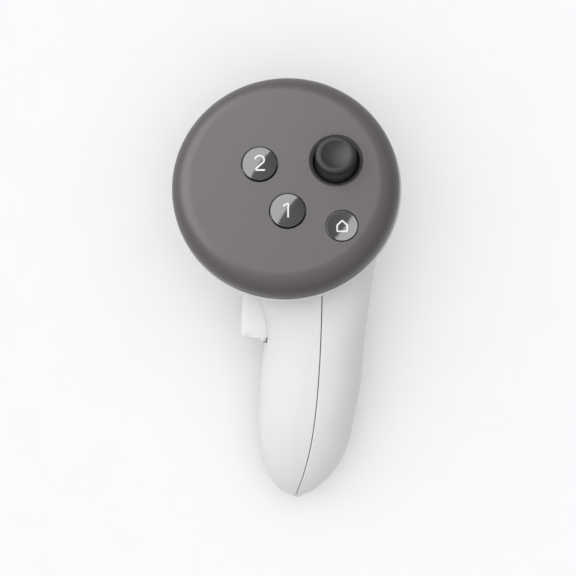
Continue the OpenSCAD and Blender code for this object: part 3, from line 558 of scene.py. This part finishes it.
def cover_field(p):
    """Above zero on the battery cover's side of the seam."""
    y, _ = turned_x(p, SEAM_TURN)
    slope = np.gradient(SEAM_FINE[:, 0], SEAM_FINE[:, 1])
    x = np.interp(y, SEAM_FINE[:, 1], SEAM_FINE[:, 0])
    lean = np.interp(y, SEAM_FINE[:, 1], slope)
    _, z = turned_x(p, NECK_TURN)
    return corner([(p[:, 0] - x) / np.sqrt(1 + lean**2), NECK_Z - z], SEAM_CORNER)


TRIGGER_AT = np.array([1.5, 21.5, -12.4])
TRIGGER_R, TRIGGER_HALF = 17.6, 8.8
SLOT_GAP, SLOT_CORNER = 0.4, 1.6
SLOT_REAR, SLOT_FRONT = math.radians(-46), math.radians(20)


def trigger_field(p):
    """Above zero inside the slot that the trigger swings in."""
    down = -(p[:, 2] - TRIGGER_AT[2])
    ahead = p[:, 1] - TRIGGER_AT[1]
    side = p[:, 0] - TRIGGER_AT[0]
    return corner([
        TRIGGER_HALF + SLOT_GAP - np.abs(side),
        -down * math.sin(SLOT_REAR) + ahead * math.cos(SLOT_REAR),
        down * math.sin(SLOT_FRONT) - ahead * math.cos(SLOT_FRONT),
    ], SLOT_CORNER)


GRIP_AT = np.array([0, -30, -27.3])
GRIP_TURN = 24.9
GRIP_HINGE = (-6.0, 13.0)
# The window of the grip pad: its low end is an arc about the hinge
WINDOW_SIDE, WINDOW_TOP, WINDOW_HALF, WINDOW_REACH, WINDOW_CORNER = -2, 10.2, 6.66, 23.9, 1.4


def grip_field(p):
    """Above zero inside the window of the grip pad."""
    y, z = turned_x(p - GRIP_AT, GRIP_TURN)
    x = p[:, 0] - GRIP_AT[0]
    low_end = WINDOW_REACH - np.hypot(x - GRIP_HINGE[0], y - GRIP_HINGE[1])
    limits = [WINDOW_SIDE - x, WINDOW_TOP - y, WINDOW_HALF - np.abs(z), low_end]
    return corner(limits, WINDOW_CORNER)


STRAP_AT = np.array([-1.2, -77.0, -53.7])
POCKET_HALF, POCKET_R, POCKET_CORNER = 2.1, 2.6, 0.6
# A round hollow in the skin around the strap eye
SCALLOP_R, SCALLOP_HALF, SCALLOP_DEPTH = 7.0, 6, 1.3
SCALLOP_AT = STRAP_AT + [0, 0, SCALLOP_DEPTH - SCALLOP_R]


def strap_field(p):
    """Above zero inside the pocket of the strap eye."""
    q = p - STRAP_AT
    round_wall = POCKET_R - np.hypot(q[:, 1], q[:, 2])
    return corner([POCKET_HALF - np.abs(q[:, 0]), round_wall], POCKET_CORNER)


RIM_Z = -8.6


def rim_field(p):
    """Distance below the rim of the body."""
    return RIM_Z - p[:, 2]


# How finely the handle surface is divided
ROWS_PER_SECTION, AROUND, TIP_ROWS = 10, 168, 5
# Steps of the rounded edges, and halvings that find where a polygon's edge crosses the line
FILLET_STEPS, HALVINGS = 4, 30
# A point this near the line counts as on it
ON_LINE = 1e-6
SAME_UV = 1e-9


def on_skin(field, uv):
    """A field's values at the surface positions (u, angle)."""
    return field(outside(uv[:, 0], uv[:, 1]))


class Sheet:
    """The handle surface as polygons over (u, angle), which any field can cut."""

    def __init__(self):
        rows = np.arange(0, SPAN, 1 / ROWS_PER_SECTION)
        u = np.concatenate([rows, SPAN + np.linspace(0, 1, TIP_ROWS)])
        a = np.linspace(0, 2 * math.pi, AROUND + 1)
        grid = np.stack(np.meshgrid(u, a, indexing="ij"), -1)
        self.uv = [tuple(x) for x in grid.reshape(-1, 2)]
        w = AROUND + 1
        self.polys = [
            [i * w + j, (i + 1) * w + j, (i + 1) * w + j + 1, i * w + j + 1]
            for i in range(len(u) - 1) for j in range(AROUND)
        ]

    def cut(self, field, level):
        """Splits the polygons that the line field = level crosses."""
        uv = np.array(self.uv)
        f = on_skin(field, uv) - level
        f[np.abs(f) < ON_LINE] = 0
        crossing = {}
        busy = []
        for index, poly in enumerate(self.polys):
            signs = f[poly]
            if signs.min() < 0 < signs.max():
                busy.append(index)
                for i, j in zip(poly, poly[1:] + poly[:1]):
                    if f[i] * f[j] < 0:
                        crossing.setdefault((min(i, j), max(i, j)), None)
        if not busy:
            return
        keys = np.array(list(crossing))
        low, high = uv[keys[:, 0]], uv[keys[:, 1]]
        flow = f[keys[:, 0]]
        for _ in range(HALVINGS):
            mid = (low + high) / 2
            same_side = ((on_skin(field, mid) - level) * flow > 0)[:, None]
            low, high = np.where(same_side, mid, low), np.where(same_side, high, mid)
        for key, at in zip(crossing, (low + high) / 2):
            crossing[key] = len(self.uv)
            self.uv.append(tuple(at))
        done = set(busy)
        fresh = []
        for index in busy:
            poly = self.polys[index]
            for way in (1, -1):
                part = []
                for i, j in zip(poly, poly[1:] + poly[:1]):
                    if f[i] * way >= 0:
                        part.append(i)
                    if f[i] * f[j] < 0:
                        part.append(crossing[(min(i, j), max(i, j))])
                if len(part) > 2:
                    fresh.append(part)
        self.polys = [p for i, p in enumerate(self.polys) if i not in done] + fresh

    def keep(self, field, level, way):
        """Drops the polygons on the wrong side of the line."""
        f = (on_skin(field, np.array(self.uv)) - level) * way
        self.polys = [p for p in self.polys if f[p].mean() > 0]


def fillet_levels(r):
    """Distances from an edge at which its rounding of radius r is divided."""
    return [r * (1 - math.cos(math.pi / 2 * k / FILLET_STEPS)) for k in range(FILLET_STEPS + 1)]


def cleared(points, field):
    """Moves the points up to 3 mm inside a window's field out to its edge."""
    nudge, deepest = 0.01, 3
    for _ in range(3):
        value = field(points)
        change = [field(points + e) - field(points - e) for e in nudge * np.eye(3)]
        slope = np.stack(change, 1) / (2 * nudge)
        size = np.maximum(np.sum(slope**2, 1), 0.01)
        inside_it = (value > 0) & (value < deepest)
        points = points - slope * np.where(inside_it, value / size, 0)[:, None]
    return points


def wall_faces(polys, same, n):
    """Faces that join the outer skin to the inner one, n points on, along every open edge."""
    edges = {}
    for p in polys:
        for i, j in zip(p, p[1:] + p[:1]):
            if same[i] != same[j]:
                edges[(same[i], same[j])] = (i, j)
    return [[j, i, i + n, j + n] for (a, b), (i, j) in edges.items() if (b, a) not in edges]


def same_points(uv):
    """For each point the one it repeats: the sheet's last column and its whole pole."""
    same = np.arange(len(uv))
    first = np.nonzero(uv[:, 1] < SAME_UV)[0]
    last = np.nonzero(uv[:, 1] > 2 * math.pi - SAME_UV)[0]
    if len(first) and len(last):
        first = first[np.argsort(uv[first, 0])]
        near = np.abs(uv[last, 0][:, None] - uv[first, 0][None, :]).argmin(1)
        same[last] = first[near]
    pole = np.nonzero(uv[:, 0] > SPAN + 1 - SAME_UV)[0]
    if len(pole):
        same[pole] = pole[0]
    return same


def shell_part(limits):
    """One moulded part of the handle: outer skin, inner skin and the edges between them.
    limits are (field, level, way, edge radius): the part is where way * (field - level) > 0."""
    sheet = Sheet()
    for field, level, way, r in limits:
        for d in fillet_levels(r):
            sheet.cut(field, level + way * d)
        sheet.keep(field, level, way)
    used = sorted({i for p in sheet.polys for i in p})
    at = {i: k for k, i in enumerate(used)}
    polys = [[at[i] for i in p] for p in sheet.polys]
    uv = np.array(sheet.uv)[used]
    skin, core = outside(uv[:, 0], uv[:, 1]), inside(uv[:, 0], uv[:, 1])
    inward = (core - skin) / np.linalg.norm(core - skin, axis=1)[:, None]
    push = np.zeros(len(skin))
    for field, level, way, r in limits:
        d = np.clip((field(skin) - level) * way, 0, r)
        push = np.maximum(push, r - np.sqrt(np.maximum(0, r * r - (r - d) ** 2)))
    outer = skin + inward * push[:, None]
    core = cleared(core, grip_field)
    to_eye = outer - SCALLOP_AT
    near_eye = np.abs(skin[:, 0] - STRAP_AT[0]) < SCALLOP_HALF
    sunk = (np.linalg.norm(to_eye, axis=1) < SCALLOP_R) & near_eye
    sphere = SCALLOP_R**2 - to_eye[sunk, 0] ** 2 - to_eye[sunk, 1] ** 2
    outer[sunk, 2] = SCALLOP_AT[2] + np.sqrt(sphere)
    same = same_points(uv)
    outer, core = outer[same], core[same]
    n = len(skin)
    faces = polys + [[i + n for i in reversed(p)] for p in polys]
    return np.vstack([outer, core]), faces + wall_faces(polys, same, n)


body_part = shell_part([
    (rim_field, 0.0, 1, 0.2),
    (cover_field, 0.0, -1, 0.22),
    (trigger_field, 0.0, -1, 0.5),
    (grip_field, 0.0, -1, 0.25),
    (strap_field, 0.0, -1, 0.3),
])
cover_part = shell_part([(cover_field, SEAM_GAP, 1, 0.22)])

# A ring inside the rim, under the face cover
LIP_IN, LIP_OUT, LIP_FOOT, LIP_TOP = 30.2, 31.6, -11.5, -6.6
lip_line = [
    (LIP_IN, LIP_FOOT), (LIP_OUT, LIP_FOOT), (LIP_OUT, LIP_TOP), (LIP_IN, LIP_TOP), (LIP_IN, LIP_FOOT),
]
lip = lathe(rounded(lip_line, [0, 0, 0.3, 0.3, 0]), n=160)
piece(
    "body_shell_visual", *joined(body_part, lip), "controller", WHITE, "white_plastic", ["body_shell"]
)
piece(
    "battery_cover_visual", *cover_part, "cover", WHITE, "white_plastic", ["battery_cover"]
)

# ---------- face cover ----------

COVER_R, COVER_H, EDGE_R, COVER_TOP, COVER_SIDE = 33.6, 8.5, 6.0, 1.6, 1.8
CORE_R = COVER_R - EDGE_R
# The flat top ends just inside the start of the rounded edge
FLAT_R = CORE_R - 0.15
BUTTON_A, BUTTON_B, HOME, STICK = (1.0, -9.2), (-7.4, 5.1), (16.9, -13.7), (15.0, 6.3)
BUTTON_R, HOME_R, HOLE_GAP = 5.15, 4.6, 0.22
RIM_SEGMENTS, HOLE_SEGMENTS = 192, 96


def hole_profile(r, soft):
    """Wall of a round hole through the cover, with its upper edge rounded."""
    line = [(r + soft + 0.05, 0), (r, 0), (r, -COVER_TOP)]
    return [(r + soft + 0.1, 0)] + rounded(line, [0, soft, 0], seg=5)


INNER_R = COVER_R - COVER_SIDE
rim_line = [(COVER_R, -EDGE_R - 0.5), (COVER_R, -COVER_H), (INNER_R, -COVER_H), (INNER_R, -EDGE_R)]
rim_profile = (
    [(FLAT_R, 0)]
    + arc(CORE_R, -EDGE_R, EDGE_R, 90, 0, 24)
    + rounded(rim_line, [0, 0.25, 0.1, 0])
    + arc(CORE_R, -EDGE_R, EDGE_R - COVER_SIDE, 0, 90, 12)
)
# The stick's opening narrows downwards in a cone
stick_line = [(8.3, 0), (7.9, 0), (6.9, -1.0), (6.9, -COVER_TOP)]
holes = [
    (BUTTON_A, hole_profile(BUTTON_R + HOLE_GAP, 0.3)),
    (BUTTON_B, hole_profile(BUTTON_R + HOLE_GAP, 0.3)),
    (HOME, hole_profile(HOME_R + HOLE_GAP, 0.16)),
    (STICK, [(8.35, 0)] + rounded(stick_line, [0, 0.4, 0.35, 0], seg=5)),
]


def sheet_with_holes(rim, z, row):
    """A level sheet from the rim radius to one row of every hole's profile."""
    rings = [circle((0, 0), rim, z, RIM_SEGMENTS)]
    rings += [circle(at, profile[row][0], z, HOLE_SEGMENTS) for at, profile in holes]
    loops = [[Vector(v) for v in ring] for ring in rings]
    triangles = [list(t) for t in tessellate_polygon(loops)]
    return [tuple(v) for loop in loops for v in loop], triangles


cover_parts = [lathe(rim_profile, n=RIM_SEGMENTS)]
cover_parts += [lathe(profile, at, HOLE_SEGMENTS) for at, profile in holes]
cover_parts += [sheet_with_holes(FLAT_R, 0.0, 0), sheet_with_holes(CORE_R, -COVER_TOP, -1)]
piece(
    "face_cover_visual", *joined(*cover_parts), "controller", DARK, "dark_plastic", ["face_cover"]
)

# ---------- buttons ----------

PROUD, EDGE_Z, EDGE_SOFT = 1.4, 0.65, 0.75
DOME = (BUTTON_R**2 + (PROUD - EDGE_Z) ** 2) / (2 * (PROUD - EDGE_Z))
FLANGE_TOP, FLANGE_FOOT, FLANGE_OVER = -1.7, -2.7, 1.05
STUD_R, STUD_FOOT = 2.2, -3.5


def dome_z(r):
    """Height of a domed button at a distance from its centre."""
    return PROUD - DOME + np.sqrt(DOME**2 - np.asarray(r, float) ** 2)


def flange(r):
    """The hidden foot of a button of radius r: a flange under the cover and a stud below it."""
    return [
        (r, FLANGE_TOP), (r + FLANGE_OVER, FLANGE_TOP), (r + FLANGE_OVER, FLANGE_FOOT),
        (STUD_R, FLANGE_FOOT), (STUD_R, STUD_FOOT), (0, STUD_FOOT),
    ]


top = [(r, float(dome_z(r))) for r in np.linspace(0, BUTTON_R - 0.5, 20)]
edge_line = [top[-1], (BUTTON_R, EDGE_Z + 0.02), (BUTTON_R, FLANGE_TOP)]
button = top + rounded(edge_line, [0, EDGE_SOFT, 0], seg=8)[1:-1] + flange(BUTTON_R)
for name, at, body, node in (
    ("button_a_visual", BUTTON_A, "lower_button", "button_a"),
    ("button_b_visual", BUTTON_B, "upper_button", "button_b"),
):
    piece(name, *lathe(button, at), body, GLOSS, "button_gloss", [node], sharp=35)

HOME_TOP, HOME_DISH, HOME_DISH_R = -0.1, 0.45, 4.4
BOWL = (HOME_DISH_R**2 + HOME_DISH**2) / (2 * HOME_DISH)


def bowl_z(r):
    """Height of the system button's dish at a distance from its centre."""
    return HOME_TOP - HOME_DISH + BOWL - np.sqrt(BOWL**2 - np.asarray(r, float) ** 2)


top = [(r, float(bowl_z(r))) for r in np.linspace(0, HOME_DISH_R - 0.25, 18)]
edge_line = [top[-1], (HOME_DISH_R, HOME_TOP), (HOME_R, HOME_TOP), (HOME_R, FLANGE_TOP)]
home_button = top + rounded(edge_line, [0, 0.15, 0.08, 0], seg=5)[1:-1] + flange(HOME_R)
piece(
    "home_button_visual", *lathe(home_button, HOME), "system_button", GLOSS, "button_gloss",
    ["home_button"], sharp=35,
)

# ---------- generic marks on the buttons ----------

MARK_STEP, MARK_PROUD, MARK_SUNK = 0.25, 0.014, -0.05
# How a stroke ends, as parts of its width: length of the end and how much it narrows
END_LENGTH, END_NARROW = 0.35, 0.45
DIGIT_WIDTH, HOUSE_WIDTH = 0.5, 0.46


def stroke(path, width, at, height, closed=False):
    """A thin raised line that follows the surface of a button."""
    fine = []
    pts = path + path[:1] if closed else path
    for a, b in zip(pts, pts[1:]):
        a, b = np.array(a), np.array(b)
        n = max(1, int(np.ceil(np.linalg.norm(b - a) / MARK_STEP)))
        fine += [a + (b - a) * k / n for k in range(n)]
    if not closed:
        fine.append(np.array(pts[-1]))
    line = np.array(fine)
    if closed:
        way = np.roll(line, -1, 0) - np.roll(line, 1, 0)
    else:
        way = np.gradient(line, axis=0)
    way /= np.linalg.norm(way, axis=1)[:, None]
    side = np.c_[-way[:, 1], way[:, 0]] * width / 2
    left, right = line + side, line - side
    if not closed:
        before, after = way[0] * width * END_LENGTH, way[-1] * width * END_LENGTH
        first, last = side[0] * END_NARROW, side[-1] * END_NARROW
        left = np.vstack([left[0] - first - before, left, left[-1] - last + after])
        right = np.vstack([right[0] + first - before, right, right[-1] + last + after])
    verts, faces, n = [], [], len(left)
    corners = ((left, MARK_PROUD), (right, MARK_PROUD), (right, MARK_SUNK), (left, MARK_SUNK))
    for row, lift in corners:
        z = height(np.hypot(row[:, 0], row[:, 1])) + lift
        verts += [(x + at[0], y + at[1], h) for (x, y), h in zip(row, z)]
    for j in range(n if closed else n - 1):
        k = (j + 1) % n
        for s in range(4):
            t = (s + 1) % 4
            faces.append([s * n + j, t * n + j, t * n + k, s * n + k])
    if not closed:
        faces += [[0, n, 2 * n, 3 * n], [n - 1, 2 * n - 1, 3 * n - 1, 4 * n - 1]]
    return verts, faces


one = rounded([(-1.15, 1.2), (0.2, 2.2), (0.2, -2.2)], [0, 0.3, 0])
two = (
    arc(0, 0.95, 1.35, 165, -20, 20)
    + rounded([(1.15, 0.25), (-1.45, -2.15), (1.5, -2.15)], [0, 0.3, 0])
)
house_line = [(-1.45, -1.55), (1.45, -1.55), (1.45, 0.35), (0, 1.75), (-1.45, 0.35)]
house = rounded(house_line, [0.3] * 5, closed=True)
mark_one = stroke(one, DIGIT_WIDTH, BUTTON_A, dome_z)
mark_two = stroke(two, DIGIT_WIDTH, BUTTON_B, dome_z)
mark_house = stroke(house, HOUSE_WIDTH, HOME, bowl_z, closed=True)
piece("mark_one", *mark_one, "lower_button", LEGEND, "pale_plastic")
piece("mark_two", *mark_two, "upper_button", LEGEND, "pale_plastic")
piece("mark_house", *mark_house, "system_button", LEGEND, "pale_plastic")

# ---------- thumbstick ----------

PIVOT_Z = -7.0
SKIRT_OUT, SKIRT_EDGE, SKIRT_IN, SHAFT_HOLE = 8.3, 7.95, 7.6, 1.05
# Degrees above the pivot's level
SKIRT_TOP, SKIRT_FOOT, SKIRT_END = 82, 19.6, 18.6


def skirt_top(r):
    """Where the skirt's surface of radius r meets the hole for the shaft."""
    return (SHAFT_HOLE, PIVOT_Z + math.sqrt(r**2 - SHAFT_HOLE**2))


end_x, end_z = polar(SKIRT_EDGE, SKIRT_END)
skirt = (
    [skirt_top(SKIRT_OUT)]
    + arc(0, PIVOT_Z, SKIRT_OUT, SKIRT_TOP, SKIRT_FOOT, 36)
    + [(end_x, PIVOT_Z + end_z)]
    + arc(0, PIVOT_Z, SKIRT_IN, SKIRT_FOOT, SKIRT_TOP, 36)
    + [skirt_top(SKIRT_IN), skirt_top(SKIRT_OUT)]
)
piece(
    "stick_skirt_visual", *lathe(skirt, STICK), "stick", RUBBER, "stick_rubber", ["stick_skirt"]
)

CAP_TOP, CAP_R, BEAD, CAP_DISH_R, CAP_DISH = 5.6, 6.0, 1.1, 4.3, 0.8
CAP_BOWL = (CAP_DISH_R**2 + CAP_DISH**2) / (2 * CAP_DISH)
NECK_R, NECK_FOOT, BORE_R, BORE_TOP = 3.2, 1.4, 1.04, 4.1
cap = [
    (r, CAP_TOP - CAP_DISH + CAP_BOWL - math.sqrt(CAP_BOWL**2 - r * r))
    for r in np.linspace(0, CAP_DISH_R - 0.3, 16)
]
cap += rounded([cap[-1], (CAP_DISH_R, CAP_TOP), (CAP_R - BEAD, CAP_TOP)], [0, 0.3, 0], seg=5)[1:-1]
cap += arc(CAP_R - BEAD, CAP_TOP - BEAD, BEAD, 90, -90, 18)
under_line = [
    (4.8, 3.35), (NECK_R, 2.0), (NECK_R, NECK_FOOT),
    (BORE_R, NECK_FOOT), (BORE_R, BORE_TOP), (0, BORE_TOP),
]
cap += rounded(under_line, [0, 0.5, 0.2, 0, 0, 0])
piece(
    "thumb_cap_visual", *lathe(cap, STICK), "stick", RUBBER, "stick_rubber", ["thumb_cap"], sharp=50
)

# ---------- trigger ----------

# Drawn about its hinge: 0 degrees points down and larger angles point ahead
FRONT = math.radians(18)
FINGER_R, FINGER_DIP, FINGER_MIDDLE = 26, 1.3, 0.64 * TRIGGER_R
LEVER_LOW, LEVER_REAR = 16.4, -28
HUB_R = 2.8


def on_front(x):
    """Point on the dished finger face, x from the axis."""
    dip = min(0.0, FINGER_R - FINGER_DIP - math.sqrt(FINGER_R**2 - (x - FINGER_MIDDLE) ** 2))
    c, s = math.cos(FRONT), math.sin(FRONT)
    return (x * c - dip * s, x * s + dip * c)


front_corner = [on_front(13.8), polar(TRIGGER_R, LEVER_LOW), polar(TRIGGER_R, 4)]
rear_corner = [polar(TRIGGER_R, -18), polar(TRIGGER_R, LEVER_REAR), polar(7, LEVER_REAR)]
lever_line = [polar(HUB_R, a) for a in range(250, 79, -10)]
lever_line += [on_front(x) for x in np.linspace(4.2, 13.6, 14)]
lever_line += rounded(front_corner, [0, 3.0, 0], seg=10)[1:-1]
lever_line += [polar(TRIGGER_R, a) for a in np.linspace(4, -18, 12)]
lever_line += rounded(rear_corner, [0, 2.8, 0], seg=8)[1:-1]
lever_line += [polar(r, LEVER_REAR) for r in (12, 9, 7)]
lever = slab(lever_line, half=TRIGGER_HALF, edge=2.7, seg=7)
# A curved wall behind the lever keeps the slot closed when the trigger is pulled
shield_line = [polar(8.4, a) for a in np.linspace(-42, -24, 10)]
shield_line += [polar(7.2, a) for a in np.linspace(-24, -42, 10)]
shield = slab(shield_line, half=TRIGGER_HALF - 0.3, edge=0.2, seg=2)
trigger_axes = [[0, 0, -1], [0, 1, 0], [1, 0, 0]]
trigger = moved(joined(lever, shield), trigger_axes, TRIGGER_AT)
piece("trigger_visual", *trigger, "index_trigger", WHITE, "white_plastic", ["trigger"])

# ---------- grip pad ----------

PAD_REACH, PAD_HALF, PAD_SOFT, PAD_STEP = 23.5, 6.5, 2.1, 0.8
pad_line = [(-5.8, 9.8), (-12.7, 9.8), (-13.9, -6.4)]
pad_line += [
    (x, GRIP_HINGE[1] - math.sqrt(PAD_REACH**2 - (x - GRIP_HINGE[0]) ** 2))
    for x in (-14.0, -11, -8.5, -5.8)
]
pad_line = rounded(pad_line, [0.5, 2.2, 0, 2.4, 0, 0, 0.5], closed=True, seg=8)
dense = []
for a, b in zip(pad_line, pad_line[1:] + pad_line[:1]):
    n = max(1, int(np.linalg.norm(np.array(b) - a) / PAD_STEP))
    dense += [np.array(a) + (np.array(b) - a) * k / n for k in range(n)]
# A hidden block behind the pad closes the view into the window
block_line = [(-5.5, -9.2), (-5.5, 8.0), (-10, 8.0), (-10, -9.2)]
block = slab(block_line, half=6.46, edge=0.6, seg=3)
cushion = slab(dense, half=PAD_HALF, edge=PAD_SOFT, seg=7)
c, s = math.cos(math.radians(GRIP_TURN)), math.sin(math.radians(GRIP_TURN))
grip_axes = [[1, 0, 0], [0, c, s], [0, -s, c]]
pad = moved(joined(cushion, block), grip_axes, GRIP_AT)
piece("grip_button_visual", *pad, "grip_pad", PAD_WHITE_PAINTED_LIGHTER, "white_plastic", ["grip_button"])

# ---------- strap eye ----------

EYE_R, EYE_HALF, EYE_BORE = 2.5, 2, 1.25
STEM_TOP, STEM_HALF = 4.6, 1.5
EYE_SEGMENTS = 96
# Rounding of the eye's edges: distance from the edge across and along the bore
EYE_SOFT = [(0.3, 0), (0.09, 0.09), (0, 0.3)]


def eye_radius(a):
    """Outline of the eye: a disc with an upright stem."""
    up, across = max(1e-6, math.sin(a)), max(1e-6, abs(math.cos(a)))
    return max(EYE_R, min(STEM_TOP / up, STEM_HALF / across) if math.sin(a) > 0 else EYE_R)


angles = [2 * math.pi * k / EYE_SEGMENTS for k in range(EYE_SEGMENTS)]
eye_rows = []
for across, along in EYE_SOFT:
    sizes = [(a, eye_radius(a) - across) for a in angles]
    eye_rows.append([(r * math.cos(a), r * math.sin(a), -EYE_HALF + along) for a, r in sizes])
eye_rows += [[(x, y, -z) for x, y, z in row] for row in reversed(eye_rows)]
for way, soft in ((1, EYE_SOFT), (-1, EYE_SOFT[::-1])):
    for across, along in soft:
        r, z = EYE_BORE + across, way * (EYE_HALF - along)
        eye_rows.append([(r * math.cos(a), r * math.sin(a), z) for a in angles])
eye_faces = []
for j in range(len(eye_rows)):
    k = (j + 1) % len(eye_rows)
    for i in range(EYE_SEGMENTS):
        m = (i + 1) % EYE_SEGMENTS
        eye_faces.append([row * EYE_SEGMENTS + col for row, col in ((j, i), (j, m), (k, m), (k, i))])
eye_axes = [[0, 1, 0], [0, 0, 1], [1, 0, 0]]
eye = moved(([point for row in eye_rows for point in row], eye_faces), eye_axes, STRAP_AT)
piece("strap_anchor_visual", *eye, "controller", PALE, "pale_plastic", ["strap_anchor"])

# ---------- finishes of the inner pieces that stay as CAD made them ----------

replaced = {node for obj in bpy.data.objects for node in obj.get("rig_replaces", [])}
for entry in frame["record"]["materials"]:
    for node in entry.get("nodes", []):
        if node in frame["nodes"] and node not in replaced:
            mesh = frame["nodes"][node].data
            mesh.materials.clear()
            mesh.materials.append(FINISH[entry["slot"]])

# ---------- floor, light and camera ----------

FLOOR_HALF = 3
floor_mesh = bpy.data.meshes.new("floor")
floor_corners = [(x * FLOOR_HALF, y * FLOOR_HALF, 0) for x, y in ((-1, -1), (1, -1), (1, 1), (-1, 1))]
floor_mesh.from_pydata(floor_corners, [], [(0, 1, 2, 3)])
floor = bpy.data.objects.new("floor", floor_mesh)
bpy.context.scene.collection.objects.link(floor)
paper = Look("floor_paper", Specular_IOR_Level=0.2)
mottle = paper.noise(60, 3, 0.5)
paper.colour(paper.ramp(mottle, [(0.3, (0.880, 0.884, 0.892)), (0.7, (0.892, 0.896, 0.904))]))
paper.roughness(paper.spread(mottle, 0.7, 0.8))
floor_mesh.materials.append(paper.material)

# The sky's strength is SKY_LEVEL plus the part of a direction that lies along SKY_RISE
SKY_COLOUR, SKY_LEVEL, SKY_RISE = (0.99, 0.993, 1.0, 1), 0.36, (-0.19, 0.05, 1.1)
RISE_FROM, RISE_TO = -0.3, 1.5
world = bpy.data.worlds.new("studio")
bpy.context.scene.world = world
world.use_nodes = True
nodes, links = world.node_tree.nodes, world.node_tree.links
sky = nodes["Background"]
sky.inputs["Color"].default_value = SKY_COLOUR
direction = nodes.new("ShaderNodeTexCoord")
rise = nodes.new("ShaderNodeVectorMath")
rise.operation = "DOT_PRODUCT"
rise.inputs[1].default_value = SKY_RISE
level = nodes.new("ShaderNodeMapRange")
level.inputs["From Min"].default_value = RISE_FROM
level.inputs["To Min"].default_value = SKY_LEVEL + RISE_FROM
level.inputs["From Max"].default_value = RISE_TO
level.inputs["To Max"].default_value = SKY_LEVEL + RISE_TO
links.new(direction.outputs["Generated"], rise.inputs[0])
links.new(rise.outputs["Value"], level.inputs["Value"])
links.new(level.outputs["Result"], sky.inputs["Strength"])


def softbox(name, azimuth, off, distance, size, radiance, glossy):
    """A rectangular light, off degrees from straight up, that faces the middle of the face.
    It shows only in gloss, or else only in diffuse light."""
    light = bpy.data.lights.new(name, "AREA")
    light.shape = "RECTANGLE"
    light.size, light.size_y = size
    light.energy = radiance * math.pi * size[0] * size[1]
    obj = bpy.data.objects.new(name, light)
    bpy.context.scene.collection.objects.link(obj)
    a, e = math.radians(azimuth), math.radians(off)
    way = Vector((math.cos(a) * math.sin(e), math.sin(a) * math.sin(e), math.cos(e)))
    obj.location = Vector(placed([(0, 0, 0)])[0]) + way * distance
    obj.rotation_mode = "QUATERNION"
    obj.rotation_quaternion = way.to_track_quat("Z", "Y")
    obj.visible_diffuse = not glossy
    obj.visible_glossy = glossy
    return obj


def lights_only(light, name, objects):
    """Keeps a light to the given objects."""
    light.light_linking.receiver_collection = bpy.data.collections.new(name)
    for obj in objects:
        light.light_linking.receiver_collection.objects.link(obj)


product = [obj for obj in bpy.context.scene.objects if obj.type == "MESH" and obj != floor]
buttons = [obj for obj in product if obj.name.startswith(("button_", "home_button"))]
satin = [obj for obj in product if obj.name.startswith(("face_cover", "thumb_cap"))]
key = softbox(
    "key", azimuth=138, off=50, distance=0.9, size=(0.9, 0.9), radiance=2.15, glossy=False
)
gloss_panel = softbox(
    "gloss_panel", azimuth=151, off=48, distance=0.7, size=(2.4, 0.653), radiance=6.0, glossy=True
)
sheen_panel = softbox(
    "sheen_panel", azimuth=138, off=50, distance=0.8, size=(1.0, 0.8), radiance=4.2, glossy=True
)
lights_only(key, "lit_by_key", product)
lights_only(gloss_panel, "lit_by_gloss_panel", buttons)
lights_only(sheen_panel, "lit_by_sheen_panel", satin)

scene = bpy.context.scene
camera_data = bpy.data.cameras.new("camera")
camera_data.sensor_width = 36
# Long enough for the whole controller to fill the frame as it does in the photo
camera_data.lens = 162.45
camera_data.clip_start = 0.05
camera_data.clip_end = 20
camera = bpy.data.objects.new("camera", camera_data)
# A new camera looks straight down, as the photo does
camera.location = (0.000565, 0.000392, 0.79532)
scene.collection.objects.link(camera)
scene.camera = camera
scene.view_settings.view_transform = "Standard"
scene.view_settings.look = "None"
